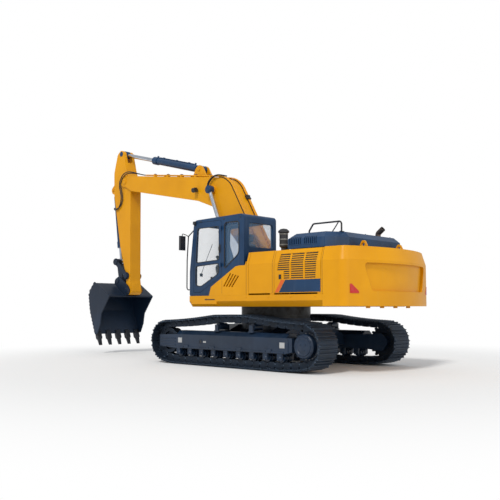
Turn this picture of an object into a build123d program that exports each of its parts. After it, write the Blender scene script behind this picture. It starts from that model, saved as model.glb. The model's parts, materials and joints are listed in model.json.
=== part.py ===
from build123d import *

# Crawler excavator of the 33 tonne class, standing with its boom raised and its arm hanging.
# Millimetres. +X is forwards, towards the bucket, +Y is left, the cab's side, and +Z is up.
# The origin is on the ground, on the slewing axis.

import math
import os

# Track chain and its path
TRACK_GAUGE = 2590
SHOE_WIDTH = 600
SHOE_COUNT = 50
TUMBLER_CENTRES = 4040
TUMBLER_Z = 508
TUMBLER_PIN_R = 351
LUG_H = 28
SHOE_T = 16
LINK_OUT = 70
LINK_IN = 56
RAIL_INNER = 55
RAIL_OUTER = 110
FLAT_FRONT_X = 1690
FLAT_REAR_X = -1470
TOP_RUN_TIP_Z = 1100
TOP_RUN_SAG = 22

# Rollers, idlers and drives
ROLLER_COUNT = 9
ROLLER_FRONT_X = 1622
ROLLER_REAR_X = -1384
ROLLER_R = 84
ROLLER_HALF = 120
ROLLER_SHAFT_R = 34
CARRIER_FRONT_X = 402
CARRIER_REAR_X = -603
CARRIER_R = 70
CARRIER_DROP = 9
IDLER_RIM_HALF = 105
SPROCKET_TEETH = 21
SPROCKET_HALF = 38
DRIVE_COVER_R = 236
BRACKET_GAP = 34
DRIVE_OUT = 232
DRIVE_HUB_R = 268
DRIVE_CORE_R = 170

# Side frames and centre frame
FRAME_HALF = 190
FRAME_WALL = 24
FRAME_REAR_X = -1564
FRAME_FRONT_X = 1676
GUIDE_FRONT_X = 2262
FRAME_LOW_Z = 346
FRAME_SIDE_Z = 655
FRAME_RIDGE_Z = 740
LEG_X = 840
LEG_HALF = 215
HUB_R = 780
HUB_LOW_Z = 520
HUB_TOP_Z = 1020

# Slewing ring
RING_LOW_OUT = 690
RING_FLANGE = 762
RING_LOW_IN = 590
RING_UP_OUT = 776
RING_UP_IN = 696
RING_UP_LOW_Z = 1080
RING_LOW_TOP_Z = 1215

# Upper frame
DECK_HALF = 1495
DECK_FRONT_X = 1240
DECK_LOW_Z = 1268
DECK_TOP_Z = 1503
SEAM_X = -2464
SKIRT_SLOPE_Y = 95
SKIRT_CREASE_Z = 1385
DECK_WALL = 22
NOSE_HALF = 436
NOSE_REAR_X = 330

# Boom foot and cylinder lugs on the upper frame
FOOT = (30, 1880)
FOOT_BOSS_R = 130
FOOT_EAR_R = 175
FOOT_PIN_R = 55
EAR_GAP = 8
EAR_T = 40
BASE = (720, 1420)
BASE_PIN_R = 46

# Boom
BOOM_HALF = 225
BOOM_WALL = 20
TIP = (5450, 4770)
TIP_BOSS_R = 152
TIP_EAR_T = 42
BOOM_PIN_R = 50
ROD_PIN = (1850, 4107)
ROD_PIN_R = 50

BOOM_FOOT_BACK = (FOOT[0] - 120, FOOT[1] + 40)
BOOM_BACK = [(820, 3450), (1348, 4357)]
BOOM_BELLY = [(1860, 3705), (2380, 3897)]
BOOM_TIP_TOP = (TIP[0] - 20, TIP[1] + TIP_BOSS_R)
LINE_LIFT = 34
LINE_R = 16

# Cylinders: the slim neck beside the base lugs, then the boom's pair
NECK_L = 190
LIFT_Y = 332
LIFT_BARREL_R = 82
LIFT_ROD_R = 50
LIFT_HEAD_R = 94
LIFT_BARREL_L = 1780
LIFT_STUB = 430
LIFT_EYE_HALF = 58
LIFT_EYE_R = 96

# Arm and its cylinder
ARM_HALF = 176
ARM_WALL = 18
ARM_BOSS_R = 195
BUCKET_PIN = (5237, 1723)
ARM_TIP_BOSS_R = 128
HORN = (5670, 5585)
HORN_BOSS_R = 112
CROWD_BASE = (2470, 4725)
CROWD_BARREL_R = 90
CROWD_ROD_R = 55
CROWD_HEAD_R = 106
CROWD_BARREL_L = 1985
CROWD_STUB = 430
CROWD_PIN_R = 45
CROWD_EYE_HALF = 72
CROWD_EYE_R = 98

# Bucket linkage and its cylinder
ROCKER_PIN = (5317, 2123)
LINK_TOP = (5817, 2533)
LINK_FOOT = (5707, 2003)
CURL_BASE = (6130, 4620)
CURL_BARREL_R = 78
CURL_ROD_R = 48
CURL_HEAD_R = 92
CURL_BARREL_L = 1690
CURL_STUB = 1300
CURL_PIN_R = 42
BUCKET_PIN_R = 48
ROCKER_PIN_R = 44
ROCKER_GAP = 8
LINK_PIN_R = 45
CURL_EYE_HALF = 60
CURL_EYE_R = 88
ROCKER_T = 40
ROCKER_R = 95
ROCKER_WAIST = 60
LINK_EAR_T = 38
LINK_R = 92

# Bucket
BUCKET_HALF = 750
BUCKET_SIDE_T = 30
BUCKET_SHELL_T = 26
BUCKET_EAR_T = 45
BUCKET_EAR_GAP = 6
TOOTH_COUNT = 5
TOOTH_W = 96
ADAPTER_W = 140
TOOTH_SPAN = 1280
TOOTH_L = 325

# Cab
CAB_RIGHT_Y = 442
CAB_LEFT_Y = 1450
CAB_REAR_X = -396
CAB_FOOT_X = 1286
CAB_BROW_X = 1150
CAB_ROOF_Z = 3214
CAB_WALL = 62
CAB_FLOOR_T = 60
DOOR_GAP = 8
DOOR_T = 46
HINGE = (262, 1500)
GLASS_T = 8

# Body panels, hood and counterweight
BODY_TOP_Z = 2382
BODY_BEND_Z = 2130
BODY_TOP_Y = 1415
PANEL_T = 36
PANEL_GAP = 8
DOOR_LOW_Z = DECK_TOP_Z + 30
HOOD_TOP_Z = 2700
HOOD_FRONT_X = -1520
HOOD_REAR_X = -2700
HOOD_LEFT_Y = 1370
HOOD_RIGHT_Y = -1060
HOOD_WALL = 30
HOOD_CREASE_Z = 2590
HOOD_LEAN = 48
WEIGHT_LOW_Z = 1275
WEIGHT_TOP_Z = 2392
HOOD_LOW_Z = WEIGHT_TOP_Z + 6
TAIL_R = 3300
WELL_REAR_X = -2650
TAIL_CORNER_R = 190
EYE_X = -2815
EYE_Y = 640
EYE_T = 44
EYE_BORE_R = 36

SEAT_GAP = 0.3
PIN_GAP = 0.6
RUN_GAP = 6
HALF_GAUGE = TRACK_GAUGE / 2
TUMBLER_X = TUMBLER_CENTRES / 2
PIN_LOW_Z = LUG_H + SHOE_T + LINK_OUT
PIN_TOP_Z = TOP_RUN_TIP_Z - PIN_LOW_Z


def side_prism(points, y_low, y_high, radii=0):
    """An outline in X and Z, made solid between two places across the machine."""
    outline = FilletPolyline(*points, radius=radii, close=True)
    face = Plane.XZ.offset(-y_high) * make_face(outline)
    return extrude(face, amount=y_high - y_low, dir=(0, -1, 0))


def plan_prism(points, z_low, z_high, radii=0):
    """An outline in X and Y, made solid between two heights."""
    outline = FilletPolyline(*points, radius=radii, close=True)
    face = Plane.XY.offset(z_low) * make_face(outline)
    return extrude(face, amount=z_high - z_low, dir=(0, 0, 1))


def leaning_prism(points, z_low, z_high, lean):
    """An outline in X and Y, made solid upwards with its sides leaning in by an angle."""
    face = Plane.XY.offset(z_low) * make_face(Polyline(*points, close=True))
    return extrude(face, amount=z_high - z_low, dir=(0, 0, 1), taper=lean)


def cross_prism(points, x_low, x_high, radii=0):
    """An outline in Y and Z, made solid along the machine."""
    outline = FilletPolyline(*points, radius=radii, close=True)
    face = Plane.YZ.offset(x_low) * make_face(outline)
    return extrude(face, amount=x_high - x_low, dir=(1, 0, 0))


def cross_pin(centre, radius, y_low, y_high):
    """A round bar that lies across the machine, centred on an X and Z place."""
    face = Plane.XZ.offset(-y_high) * Pos(centre[0], centre[1]) * Circle(radius)
    return extrude(face, amount=y_high - y_low, dir=(0, -1, 0))


def pin_bore(centre, radius, half, y_middle=0):
    """The space that a pin turns in, just wider than the pin."""
    return cross_pin(centre, radius + PIN_GAP, y_middle - half, y_middle + half)


def block(x_low, x_high, y_low, y_high, z_low, z_high):
    """A plain block between its limits."""
    size = (x_high - x_low, y_high - y_low, z_high - z_low)
    middle = ((x_high + x_low) / 2, (y_high + y_low) / 2, (z_high + z_low) / 2)
    return Pos(*middle) * Box(*size)


def both_sides(shape):
    """The shape and its mirror image across the machine's middle plane."""
    return [shape, mirror(shape, about=Plane.XZ)]


def direction(start, end):
    """The unit vector and length from one X and Z place to another."""
    dx = end[0] - start[0]
    dz = end[1] - start[1]
    length = math.hypot(dx, dz)
    return (dx / length, dz / length), length


def along(start, unit, distance):
    """The place a distance along a line in X and Z."""
    return (start[0] + unit[0] * distance, start[1] + unit[1] * distance)


def rod_between(start, end, radius, y_middle):
    """A round bar between two places in the same fore-and-aft plane."""
    unit, length = direction(start, end)
    plane = Plane(origin=(start[0], y_middle, start[1]), z_dir=(unit[0], 0, unit[1]))
    return extrude(plane * Circle(radius), amount=length)


def write(shapes, name):
    """One STEP file for a sub-part made of one or more solids."""
    parts = shapes if isinstance(shapes, list) else [shapes]
    solids = []
    for part in parts:
        solids.extend(part.solids())
    whole = Compound(solids) if len(solids) > 1 else solids[0]
    whole.label = name
    export_step(whole, os.path.join("parts", name + ".step"))


def offset_points(points, distance):
    """An open run of X and Z places moved sideways, to the left of its travel."""
    moved = []
    for index, place in enumerate(points):
        before = direction(points[max(index - 1, 0)], points[max(index, 1)])[0]
        last = len(points) - 1
        after = direction(points[min(index, last - 1)], points[min(index + 1, last)])[0]
        share = distance / (1 + before[0] * after[0] + before[1] * after[1])
        normal = (-before[1] - after[1], before[0] + after[0])
        moved.append((place[0] + normal[0] * share, place[1] + normal[1] * share))
    return moved


def tangent_point(outside, centre, radius, turn):
    """Where a line from a place touches a circle, with the circle on the chosen hand."""
    dx = outside[0] - centre[0]
    dz = outside[1] - centre[1]
    reach = math.hypot(dx, dz)
    angle = math.atan2(dz, dx) + turn * math.acos(radius / reach)
    return (centre[0] + radius * math.cos(angle), centre[1] + radius * math.sin(angle))


def track_path():
    """The closed line through the chain's pins, from the flat lower run round both tumblers."""
    front = (TUMBLER_X, TUMBLER_Z)
    rear = (-TUMBLER_X, TUMBLER_Z)
    low_front = (FLAT_FRONT_X, PIN_LOW_Z)
    low_rear = (FLAT_REAR_X, PIN_LOW_Z)
    top_front = (CARRIER_FRONT_X, PIN_TOP_Z)
    top_rear = (CARRIER_REAR_X, PIN_TOP_Z)
    front_in = tangent_point(low_front, front, TUMBLER_PIN_R, 1)
    front_out = tangent_point(top_front, front, TUMBLER_PIN_R, -1)
    rear_in = tangent_point(top_rear, rear, TUMBLER_PIN_R, 1)
    rear_out = tangent_point(low_rear, rear, TUMBLER_PIN_R, -1)
    front_nose = (TUMBLER_X + TUMBLER_PIN_R, TUMBLER_Z)
    rear_nose = (-TUMBLER_X - TUMBLER_PIN_R, TUMBLER_Z)
    sag_front = ((front_out[0] + top_front[0]) / 2, (front_out[1] + top_front[1]) / 2 - TOP_RUN_SAG)
    sag_rear = ((rear_in[0] + top_rear[0]) / 2, (rear_in[1] + top_rear[1]) / 2 - TOP_RUN_SAG)
    edges = [
        Line(low_rear, low_front),
        Line(low_front, front_in),
        ThreePointArc(front_in, front_nose, front_out),
        ThreePointArc(front_out, sag_front, top_front),
        Line(top_front, top_rear),
        ThreePointArc(top_rear, sag_rear, rear_in),
        ThreePointArc(rear_in, rear_nose, rear_out),
        Line(rear_out, low_rear),
    ]
    return Wire(edges)


def pin_places():
    """The chain's pins, evenly spaced along the path, as X and Z pairs."""
    path = track_path()
    pitch = path.length / SHOE_COUNT
    first = math.fmod(FLAT_FRONT_X - FLAT_REAR_X, pitch)
    places = []
    for index in range(SHOE_COUNT):
        distance = first + pitch * index
        place = path.position_at(distance, position_mode=PositionMode.LENGTH)
        places.append((place.X, place.Y))
    return places


def ring_points(pins, height):
    """The pins' polygon moved outwards, without the points that lie on a straight run."""
    count = len(pins)
    points = []
    for index in range(count):
        before, here, after = pins[index - 1], pins[index], pins[(index + 1) % count]
        first, _ = direction(before, here)
        second, _ = direction(here, after)
        cosine = first[0] * second[0] + first[1] * second[1]
        if cosine > 0.99999:
            continue
        share = height / (1 + cosine)
        normal = (first[1] + second[1], -first[0] - second[0])
        points.append((here[0] + normal[0] * share, here[1] + normal[1] * share))
    return points


def shoe_points(start, end):
    """The outer edge of one shoe with its three lugs, between two pins."""
    unit, pitch = direction(start, end)
    out = (unit[1], -unit[0])
    middle = along(start, unit, pitch / 2)
    plate = LINK_OUT + SHOE_T
    tip = plate + LUG_H
    edge = pitch * 0.48
    profile = [(-edge, plate - SHOE_T / 2), (-edge, plate)]
    for lug in (-0.36, 0.0, 0.36):
        foot = pitch * 0.06
        profile.append((lug * pitch - foot, plate))
        profile.append((lug * pitch, tip))
        profile.append((lug * pitch + foot, plate))
    profile.append((edge, plate))
    points = []
    for step, height in profile:
        place = along(middle, unit, step)
        points.append(along(place, out, height))
    return points


def track(y_middle):
    """One track: the ring of shoes with their lugs, and the two rails of the chain inside it."""
    pins = pin_places()
    outer = []
    for index in range(len(pins)):
        outer.extend(shoe_points(pins[index], pins[(index + 1) % len(pins)]))
    shoe_face = make_face(Polyline(*outer, close=True))
    shoe_face -= make_face(Polyline(*ring_points(pins, LINK_OUT), close=True))
    rail_face = make_face(Polyline(*ring_points(pins, LINK_OUT + SHOE_T / 3), close=True))
    rail_face -= make_face(Polyline(*ring_points(pins, -LINK_IN), close=True))
    half = SHOE_WIDTH / 2
    body = extrude(Plane.XZ.offset(-y_middle - half) * shoe_face, amount=SHOE_WIDTH, dir=(0, -1, 0))
    for low, high in ((-RAIL_OUTER, -RAIL_INNER), (RAIL_INNER, RAIL_OUTER)):
        plane = Plane.XZ.offset(-y_middle - high)
        body += extrude(plane * rail_face, amount=high - low, dir=(0, -1, 0))
    return body


def side_frame(side):
    """One track frame: a channel open below, with a ridged top, idler guides and drive seat."""
    middle = side * HALF_GAUGE
    shoulder = FRAME_HALF
    ridge = FRAME_HALF * 0.45
    section = [
        (middle - shoulder, FRAME_LOW_Z),
        (middle + shoulder, FRAME_LOW_Z),
        (middle + shoulder, FRAME_SIDE_Z),
        (middle + ridge, FRAME_RIDGE_Z),
        (middle - ridge, FRAME_RIDGE_Z),
        (middle - shoulder, FRAME_SIDE_Z),
    ]
    body = cross_prism(section, FRAME_REAR_X, FRAME_FRONT_X)
    inner = FRAME_HALF - FRAME_WALL
    hollow = block(
        FRAME_REAR_X + FRAME_WALL, FRAME_FRONT_X - FRAME_WALL,
        middle - inner, middle + inner,
        FRAME_LOW_Z - 1, FRAME_SIDE_Z - FRAME_WALL,
    )
    body -= hollow
    idler_gap = IDLER_RIM_HALF + RUN_GAP
    for low, high in ((-FRAME_HALF, -idler_gap), (idler_gap, FRAME_HALF)):
        guide = [
            (FRAME_FRONT_X - FRAME_WALL, FRAME_LOW_Z),
            (GUIDE_FRONT_X, FRAME_LOW_Z + 30),
            (GUIDE_FRONT_X, FRAME_SIDE_Z - 20),
            (FRAME_FRONT_X - FRAME_WALL, FRAME_SIDE_Z),
        ]
        body += side_prism(guide, middle + low, middle + high)
        seat = [
            (FRAME_REAR_X + FRAME_WALL, FRAME_LOW_Z),
            (FRAME_REAR_X + FRAME_WALL, FRAME_SIDE_Z),
            (-TUMBLER_X + DRIVE_HUB_R + 40, FRAME_SIDE_Z),
            (-TUMBLER_X + DRIVE_HUB_R + 40, FRAME_LOW_Z + 40),
        ]
        body += side_prism(seat, middle + low, middle + high)
    return body


def drive_bracket(side):
    """The plate behind the sprocket that carries the final drive from the track frame."""
    middle = side * HALF_GAUGE
    inner = middle - side * FRAME_HALF
    outer = middle - side * (SPROCKET_HALF + BRACKET_GAP)
    low, high = min(inner, outer), max(inner, outer)
    plate = [
        (FRAME_REAR_X + 60, FRAME_LOW_Z + 10),
        (FRAME_REAR_X + 60, FRAME_SIDE_Z - 5),
        (-TUMBLER_X - 60, TUMBLER_Z + 190),
        (-TUMBLER_X - 200, TUMBLER_Z),
        (-TUMBLER_X - 60, TUMBLER_Z - 190),
    ]
    return side_prism(plate, low, high, [0, 0, 120, 120, 120])


def sprocket(side):
    """The toothed drive wheel, between the chain's rails."""
    middle = side * HALF_GAUGE
    pitch = 2 * math.pi / SPROCKET_TEETH
    points = []
    for tooth in range(SPROCKET_TEETH):
        angle = tooth * pitch
        for share, radius in ((-0.32, TUMBLER_PIN_R - 32), (-0.14, TUMBLER_PIN_R + 22),
                              (0.14, TUMBLER_PIN_R + 22), (0.32, TUMBLER_PIN_R - 32)):
            turn = angle + share * pitch
            points.append((-TUMBLER_X + radius * math.cos(turn), TUMBLER_Z + radius * math.sin(turn)))
    wheel = side_prism(points, middle - SPROCKET_HALF, middle + SPROCKET_HALF)
    centre = (-TUMBLER_X, TUMBLER_Z)
    return wheel - cross_pin(centre, DRIVE_CORE_R + SEAT_GAP, middle - 100, middle + 100)


def final_drive(side):
    """The final drive: a hub inside the sprocket and a domed cover towards the outside."""
    middle = side * HALF_GAUGE
    rotation = Plane(origin=(-TUMBLER_X, middle, TUMBLER_Z), z_dir=(0, side, 0))
    inboard = SPROCKET_HALF + SEAT_GAP
    seat = -SPROCKET_HALF - BRACKET_GAP + SEAT_GAP
    profile = Polyline(
        (0, seat), (DRIVE_CORE_R, seat), (DRIVE_CORE_R, inboard), (DRIVE_HUB_R, inboard), (DRIVE_HUB_R, inboard + 45),
        (DRIVE_COVER_R, inboard + 60), (DRIVE_COVER_R, DRIVE_OUT - 22),
        (DRIVE_COVER_R - 22, DRIVE_OUT), (0, DRIVE_OUT), close=True,
    )
    face = Plane.XZ * make_face(profile)
    return rotation * revolve(face, axis=Axis.Z)


def idler(side):
    """The front idler: a rim that runs inside the chain's rails, with a web and hub."""
    middle = side * HALF_GAUGE
    rotation = Plane(origin=(TUMBLER_X, middle, TUMBLER_Z), z_dir=(0, side, 0))
    half_chord = track_path().length / SHOE_COUNT / 2
    rim = math.sqrt(TUMBLER_PIN_R ** 2 - half_chord ** 2) - LINK_IN - SEAT_GAP
    half = IDLER_RIM_HALF
    hub = half + RUN_GAP - SEAT_GAP
    profile = Polyline(
        (0, -hub), (110, -hub), (110, -60), (rim - 70, -60), (rim - 70, -half),
        (rim, -half), (rim, half), (rim - 70, half), (rim - 70, 60), (110, 60), (110, hub), (0, hub),
        close=True,
    )
    face = Plane.XZ * make_face(profile)
    return rotation * revolve(face, axis=Axis.Z)


def bottom_rollers(side):
    """The row of rollers that the machine stands on, with their shaft blocks under the frame."""
    middle = side * HALF_GAUGE
    step = (ROLLER_REAR_X - ROLLER_FRONT_X) / (ROLLER_COUNT - 1)
    height = PIN_LOW_Z + LINK_IN + ROLLER_R + SEAT_GAP
    rollers = []
    for index in range(ROLLER_COUNT):
        centre = (ROLLER_FRONT_X + index * step, height)
        roller = cross_pin(centre, ROLLER_R, middle - ROLLER_HALF, middle + ROLLER_HALF)
        end = FRAME_HALF - 4
        roller += cross_pin(centre, ROLLER_SHAFT_R, middle - end, middle + end)
        for low, high in ((-end, -end + 44), (end - 44, end)):
            roller += block(
                centre[0] - 62, centre[0] + 62, middle + low, middle + high,
                height - 42, FRAME_LOW_Z - SEAT_GAP,
            )
        rollers.append(roller)
    return rollers


def carrier_rollers(side):
    """The two small rollers under the upper run, each on a post that stands on the frame."""
    middle = side * HALF_GAUGE
    rollers = []
    for place in (CARRIER_FRONT_X, CARRIER_REAR_X):
        centre = (place, PIN_TOP_Z - LINK_IN - CARRIER_R - CARRIER_DROP)
        roller = cross_pin(centre, CARRIER_R, middle - ROLLER_HALF, middle + ROLLER_HALF)
        outer = ROLLER_HALF + 12
        for edge in (-outer - 40, outer):
            roller += block(
                place - 48, place + 48, middle + edge, middle + edge + 40,
                FRAME_SIDE_Z + 60, centre[1] + 36,
            )
        roller += cross_pin(centre, ROLLER_SHAFT_R, middle - outer - 20, middle + outer + 20)
        base = block(
            place - 70, place + 70, middle - outer - 40, middle + outer + 40,
            FRAME_RIDGE_Z + SEAT_GAP, FRAME_RIDGE_Z + 26,
        )
        foot_cut = block(place - 80, place + 80, middle - 200, middle + 200, 0, FRAME_RIDGE_Z + SEAT_GAP)
        rollers.append((roller + base) - foot_cut)
    return rollers


def centre_frame():
    """The frame between the tracks: a round turret seat on a box, with two sloping legs each side."""
    inner_edge = HALF_GAUGE - FRAME_HALF - SEAT_GAP
    section = [
        (-inner_edge, 430), (inner_edge, 430), (inner_edge, 640),
        (560, 880), (-560, 880), (-inner_edge, 640),
    ]
    body = cross_prism(section, -LEG_X - LEG_HALF, -LEG_X + LEG_HALF)
    body += cross_prism(section, LEG_X - LEG_HALF, LEG_X + LEG_HALF)
    body += block(-LEG_X - LEG_HALF, LEG_X + LEG_HALF, -520, 520, HUB_LOW_Z, 880)
    turret = Cylinder(HUB_R, HUB_TOP_Z - 780, align=(Align.CENTER, Align.CENTER, Align.MIN))
    body += Pos(0, 0, 780) * turret
    return body


def ring(outer, inner, z_low, z_high):
    """A plain ring on the slewing axis."""
    height = z_high - z_low
    shape = Cylinder(outer, height) - Cylinder(inner, height + 2)
    return Pos(0, 0, (z_low + z_high) / 2) * shape


def lower_ring():
    """The ring bolted to the turret, with the flange that the upper ring runs on."""
    flange = ring(RING_FLANGE, RING_LOW_IN, HUB_TOP_Z + SEAT_GAP, RING_UP_LOW_Z - SEAT_GAP)
    return flange + ring(RING_LOW_OUT, RING_LOW_IN, HUB_TOP_Z + SEAT_GAP, RING_LOW_TOP_Z)


def deck_section(inset):
    """The upper frame's cross-section with its sloped lower skirts, shrunk by a wall."""
    half = DECK_HALF - inset
    low_half = DECK_HALF - SKIRT_SLOPE_Y - inset
    return [
        (-low_half, DECK_LOW_Z), (low_half, DECK_LOW_Z), (half, SKIRT_CREASE_Z),
        (half, DECK_TOP_Z - inset), (-half, DECK_TOP_Z - inset), (-half, SKIRT_CREASE_Z),
    ]


def upper_frame():
    """The revolving frame: skirts, decks and centre girders, with the boom foot and cylinder lugs."""
    body = cross_prism(deck_section(0), SEAM_X, DECK_FRONT_X)
    girder = 470
    for low, high in ((-DECK_HALF, -girder), (girder, DECK_HALF)):
        for x_low, x_high in ((SEAM_X + DECK_WALL, -1000), (-960, DECK_FRONT_X - DECK_WALL)):
            pocket = cross_prism(deck_section(DECK_WALL), x_low, x_high)
            pocket &= block(x_low, x_high, low, high, 0, DECK_TOP_Z)
            pocket &= block(x_low, x_high, low, high, DECK_LOW_Z - 1, DECK_TOP_Z - DECK_WALL)
            body -= pocket
    body -= block(SEAM_X + DECK_WALL, -850, -girder + 30, girder - 30, DECK_LOW_Z + 34, DECK_TOP_Z - DECK_WALL)
    body -= block(NOSE_REAR_X, DECK_FRONT_X + 10, -NOSE_HALF, NOSE_HALF, DECK_LOW_Z + 34, DECK_TOP_Z + 10)
    body -= block(BASE[0] + 130, DECK_FRONT_X + 10, -NOSE_HALF, NOSE_HALF, 0, DECK_TOP_Z + 10)
    toe_box = [(1495, 1390), (1495, 1325), (1462, 1298), (1400, 1298), (1400, 1390)]
    for toe in both_sides(cross_prism(toe_box, 373, DECK_FRONT_X - 60)):
        body += toe
    foot = FOOT
    ear = [
        (-700, DECK_TOP_Z - 30), (foot[0] - 260, foot[1] + 20), (foot[0] - 60, foot[1] + 190),
        (foot[0] + 170, foot[1] + 130), (560, 1640), (BASE[0] + 110, BASE[1] + 60),
        (BASE[0] + 110, DECK_LOW_Z + 10), (-700, DECK_LOW_Z + 10),
    ]
    ear_low = BOOM_HALF + EAR_GAP
    for plate in both_sides(side_prism(ear, ear_low, ear_low + EAR_T, [0, 150, 120, 120, 100, 90, 0, 0])):
        body += plate
    lug = [
        (BASE[0] - 330, DECK_LOW_Z + 10), (BASE[0] - 120, BASE[1] + 60), (BASE[0], BASE[1] + 112),
        (BASE[0] + 112, BASE[1] + 60), (BASE[0] + 112, DECK_LOW_Z + 10),
    ]
    lug_low = LIFT_Y + LIFT_EYE_HALF + RUN_GAP
    for plate in both_sides(side_prism(lug, lug_low, NOSE_HALF, [0, 90, 70, 60, 0])):
        body += plate
    for pin in both_sides(cross_pin(BASE, BASE_PIN_R, ear_low + 10, NOSE_HALF + 18)):
        body += pin
    for cap in both_sides(cross_pin(BASE, BASE_PIN_R + 30, NOSE_HALF, NOSE_HALF + 18)):
        body += cap
    pin_end = ear_low + EAR_T + 26
    body += cross_pin(FOOT, FOOT_PIN_R, -pin_end, pin_end)
    for cap in both_sides(cross_pin(FOOT, FOOT_PIN_R + 35, ear_low + EAR_T, pin_end)):
        body += cap
    return body


def belly_pans():
    """The plates that close the upper frame from below, at the left, right and rear."""
    pans = []
    edge = DECK_HALF - SKIRT_SLOPE_Y - DECK_WALL - SEAT_GAP
    front = DECK_FRONT_X - DECK_WALL - SEAT_GAP
    rear = SEAM_X + DECK_WALL + SEAT_GAP
    for x_low, x_high in ((rear, -1000 - SEAT_GAP), (-960 + SEAT_GAP, front)):
        pan = block(x_low, x_high, 470 + SEAT_GAP, edge, DECK_LOW_Z, DECK_LOW_Z + 10)
        pans.extend(both_sides(pan))
    return pans


def body_skin(x_low, x_high, z_low, inset=0):
    """The left side's wall section, upright and then leaning in, between two places along it."""
    outer = DECK_HALF - inset
    top = BODY_TOP_Y - inset
    section = [
        (outer, z_low), (outer, BODY_BEND_Z), (top, BODY_TOP_Z),
        (top - PANEL_T, BODY_TOP_Z), (outer - PANEL_T, BODY_BEND_Z), (outer - PANEL_T, z_low),
    ]
    return cross_prism(section, x_low, x_high)


def left_front_panel():
    """The fixed panel under the cab's sloping edge, with its slanted louvre slots."""
    outline = [
        (615, DECK_TOP_Z + SEAT_GAP), (555, 1690), (-190, 2105), (-300, 2120), (-462, 2122), (-497, 2200),
        (-497, DECK_TOP_Z + SEAT_GAP),
    ]
    panel = side_prism(outline, CAB_LEFT_Y + 6, DECK_HALF, [0, 60, 40, 60, 20, 0, 0])
    for index in range(4):
        shift = index * 78
        slot = [
            (-60 - shift, 1960 - index * 20), (-30 - shift, 1975 - index * 20),
            (170 - shift, 1700 - index * 6), (140 - shift, 1685 - index * 6),
        ]
        panel -= side_prism(slot, CAB_LEFT_Y, DECK_HALF + 1)
    return panel


def left_bay():
    """The fixed yellow frame of the left side: post behind the cab, post between the doors and deck."""
    bottom = DECK_TOP_Z + SEAT_GAP
    body = body_skin(-560, -505, bottom)
    body += body_skin(-1262, -1222, bottom)
    body += body_skin(-2456, -2430, bottom)
    roof_low = BODY_TOP_Z - PANEL_T
    edge = BODY_TOP_Y - PANEL_T - PANEL_GAP
    body += block(HOOD_FRONT_X + 10, -505, CAB_RIGHT_Y, edge, roof_low, BODY_TOP_Z)
    body += block(-540, -505, CAB_RIGHT_Y, BODY_TOP_Y, bottom, BODY_TOP_Z)
    body += block(HOOD_FRONT_X - 26, -1250, HOOD_RIGHT_Y, CAB_RIGHT_Y, roof_low, BODY_TOP_Z)
    body += block(-2456, HOOD_FRONT_X + 10, edge - 60, edge, roof_low, BODY_TOP_Z)
    for x_low, x_high in ((-560, -505), (-1262, -1222), (-2456, -2430)):
        body += block(x_low, x_high, edge - 60, BODY_TOP_Y - 6, roof_low, BODY_TOP_Z)
    for rear in (-1262, -2456):
        body += block(rear, rear + 110, DECK_HALF - PANEL_T, DECK_HALF - 4, bottom, DOOR_LOW_Z - SEAT_GAP)
    for y in (700, 1150):
        body += block(HOOD_FRONT_X - 26, HOOD_FRONT_X + 20, y, y + 60, roof_low, HOOD_LOW_Z - SEAT_GAP)
    body += block(HOOD_FRONT_X - 26, HOOD_FRONT_X + 20, CAB_RIGHT_Y, edge, roof_low, BODY_TOP_Z)
    return body


def service_door(x_low, x_high):
    """A plain left side door between two posts."""
    return body_skin(x_low + PANEL_GAP, x_high - PANEL_GAP, DOOR_LOW_Z)


def grille_door():
    """The cooler's door, with three columns of slats in an opening that is stepped at one corner."""
    x_low = -2430 + PANEL_GAP
    x_high = -1262 - PANEL_GAP
    door = body_skin(x_low, x_high, DOOR_LOW_Z)
    opening = [
        (-1405, 2305), (-1350, 1975), (-1515, 1965), (-1515, 1800), (-2300, 1800), (-2340, 2305),
    ]
    door -= side_prism(opening, 1300, DECK_HALF + 10)
    fill = body_skin(x_low, x_high, DOOR_LOW_Z, 6) & side_prism(opening, 1300, DECK_HALF + 10)
    slat_pitch = 42
    count = int((2305 - 1800) / slat_pitch)
    for index in range(count):
        low = 1800 + 12 + index * slat_pitch
        for start, end in ((-2350, -2035), (-2010, -1690), (-1665, -1340)):
            fill -= block(start + 8, end - 8, 1300, DECK_HALF + 10, low, low + 22)
    return door + fill


def right_body():
    """The right side: tool box and steps, fuel tank, oil tank and the pump bay's frame."""
    bottom = DECK_TOP_Z + SEAT_GAP
    outer = -DECK_HALF
    tool_box = plan_prism(
        [(700, outer), (DECK_FRONT_X - 10, outer), (DECK_FRONT_X - 10, -470), (700, -470)],
        bottom, 1960, [20, 70, 70, 20],
    )
    step = plan_prism(
        [(480, outer), (695, outer), (695, -470), (480, -470)], bottom, 1700, 20,
    )
    return [tool_box, step]


def fuel_tank():
    """The fuel tank, a rounded block on the right deck."""
    tank = plan_prism(
        [(-760, -DECK_HALF), (470, -DECK_HALF), (470, -470), (-760, -470)],
        DECK_TOP_Z + SEAT_GAP, 2420, 70,
    )
    top = tank.faces().sort_by(Axis.Z)[-1]
    tank = fillet(top.edges(), 30)
    tank += Pos(200, -1200, 2420) * Cylinder(60, 60, align=(Align.CENTER, Align.CENTER, Align.MIN))
    return tank


def oil_tank():
    """The hydraulic oil tank behind the fuel tank."""
    tank = plan_prism(
        [(-1240, -DECK_HALF), (-766, -DECK_HALF), (-766, -470), (-1240, -470)],
        DECK_TOP_Z + SEAT_GAP, 2420, 60,
    )
    top = tank.faces().sort_by(Axis.Z)[-1]
    return fillet(top.edges(), 24)


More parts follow.
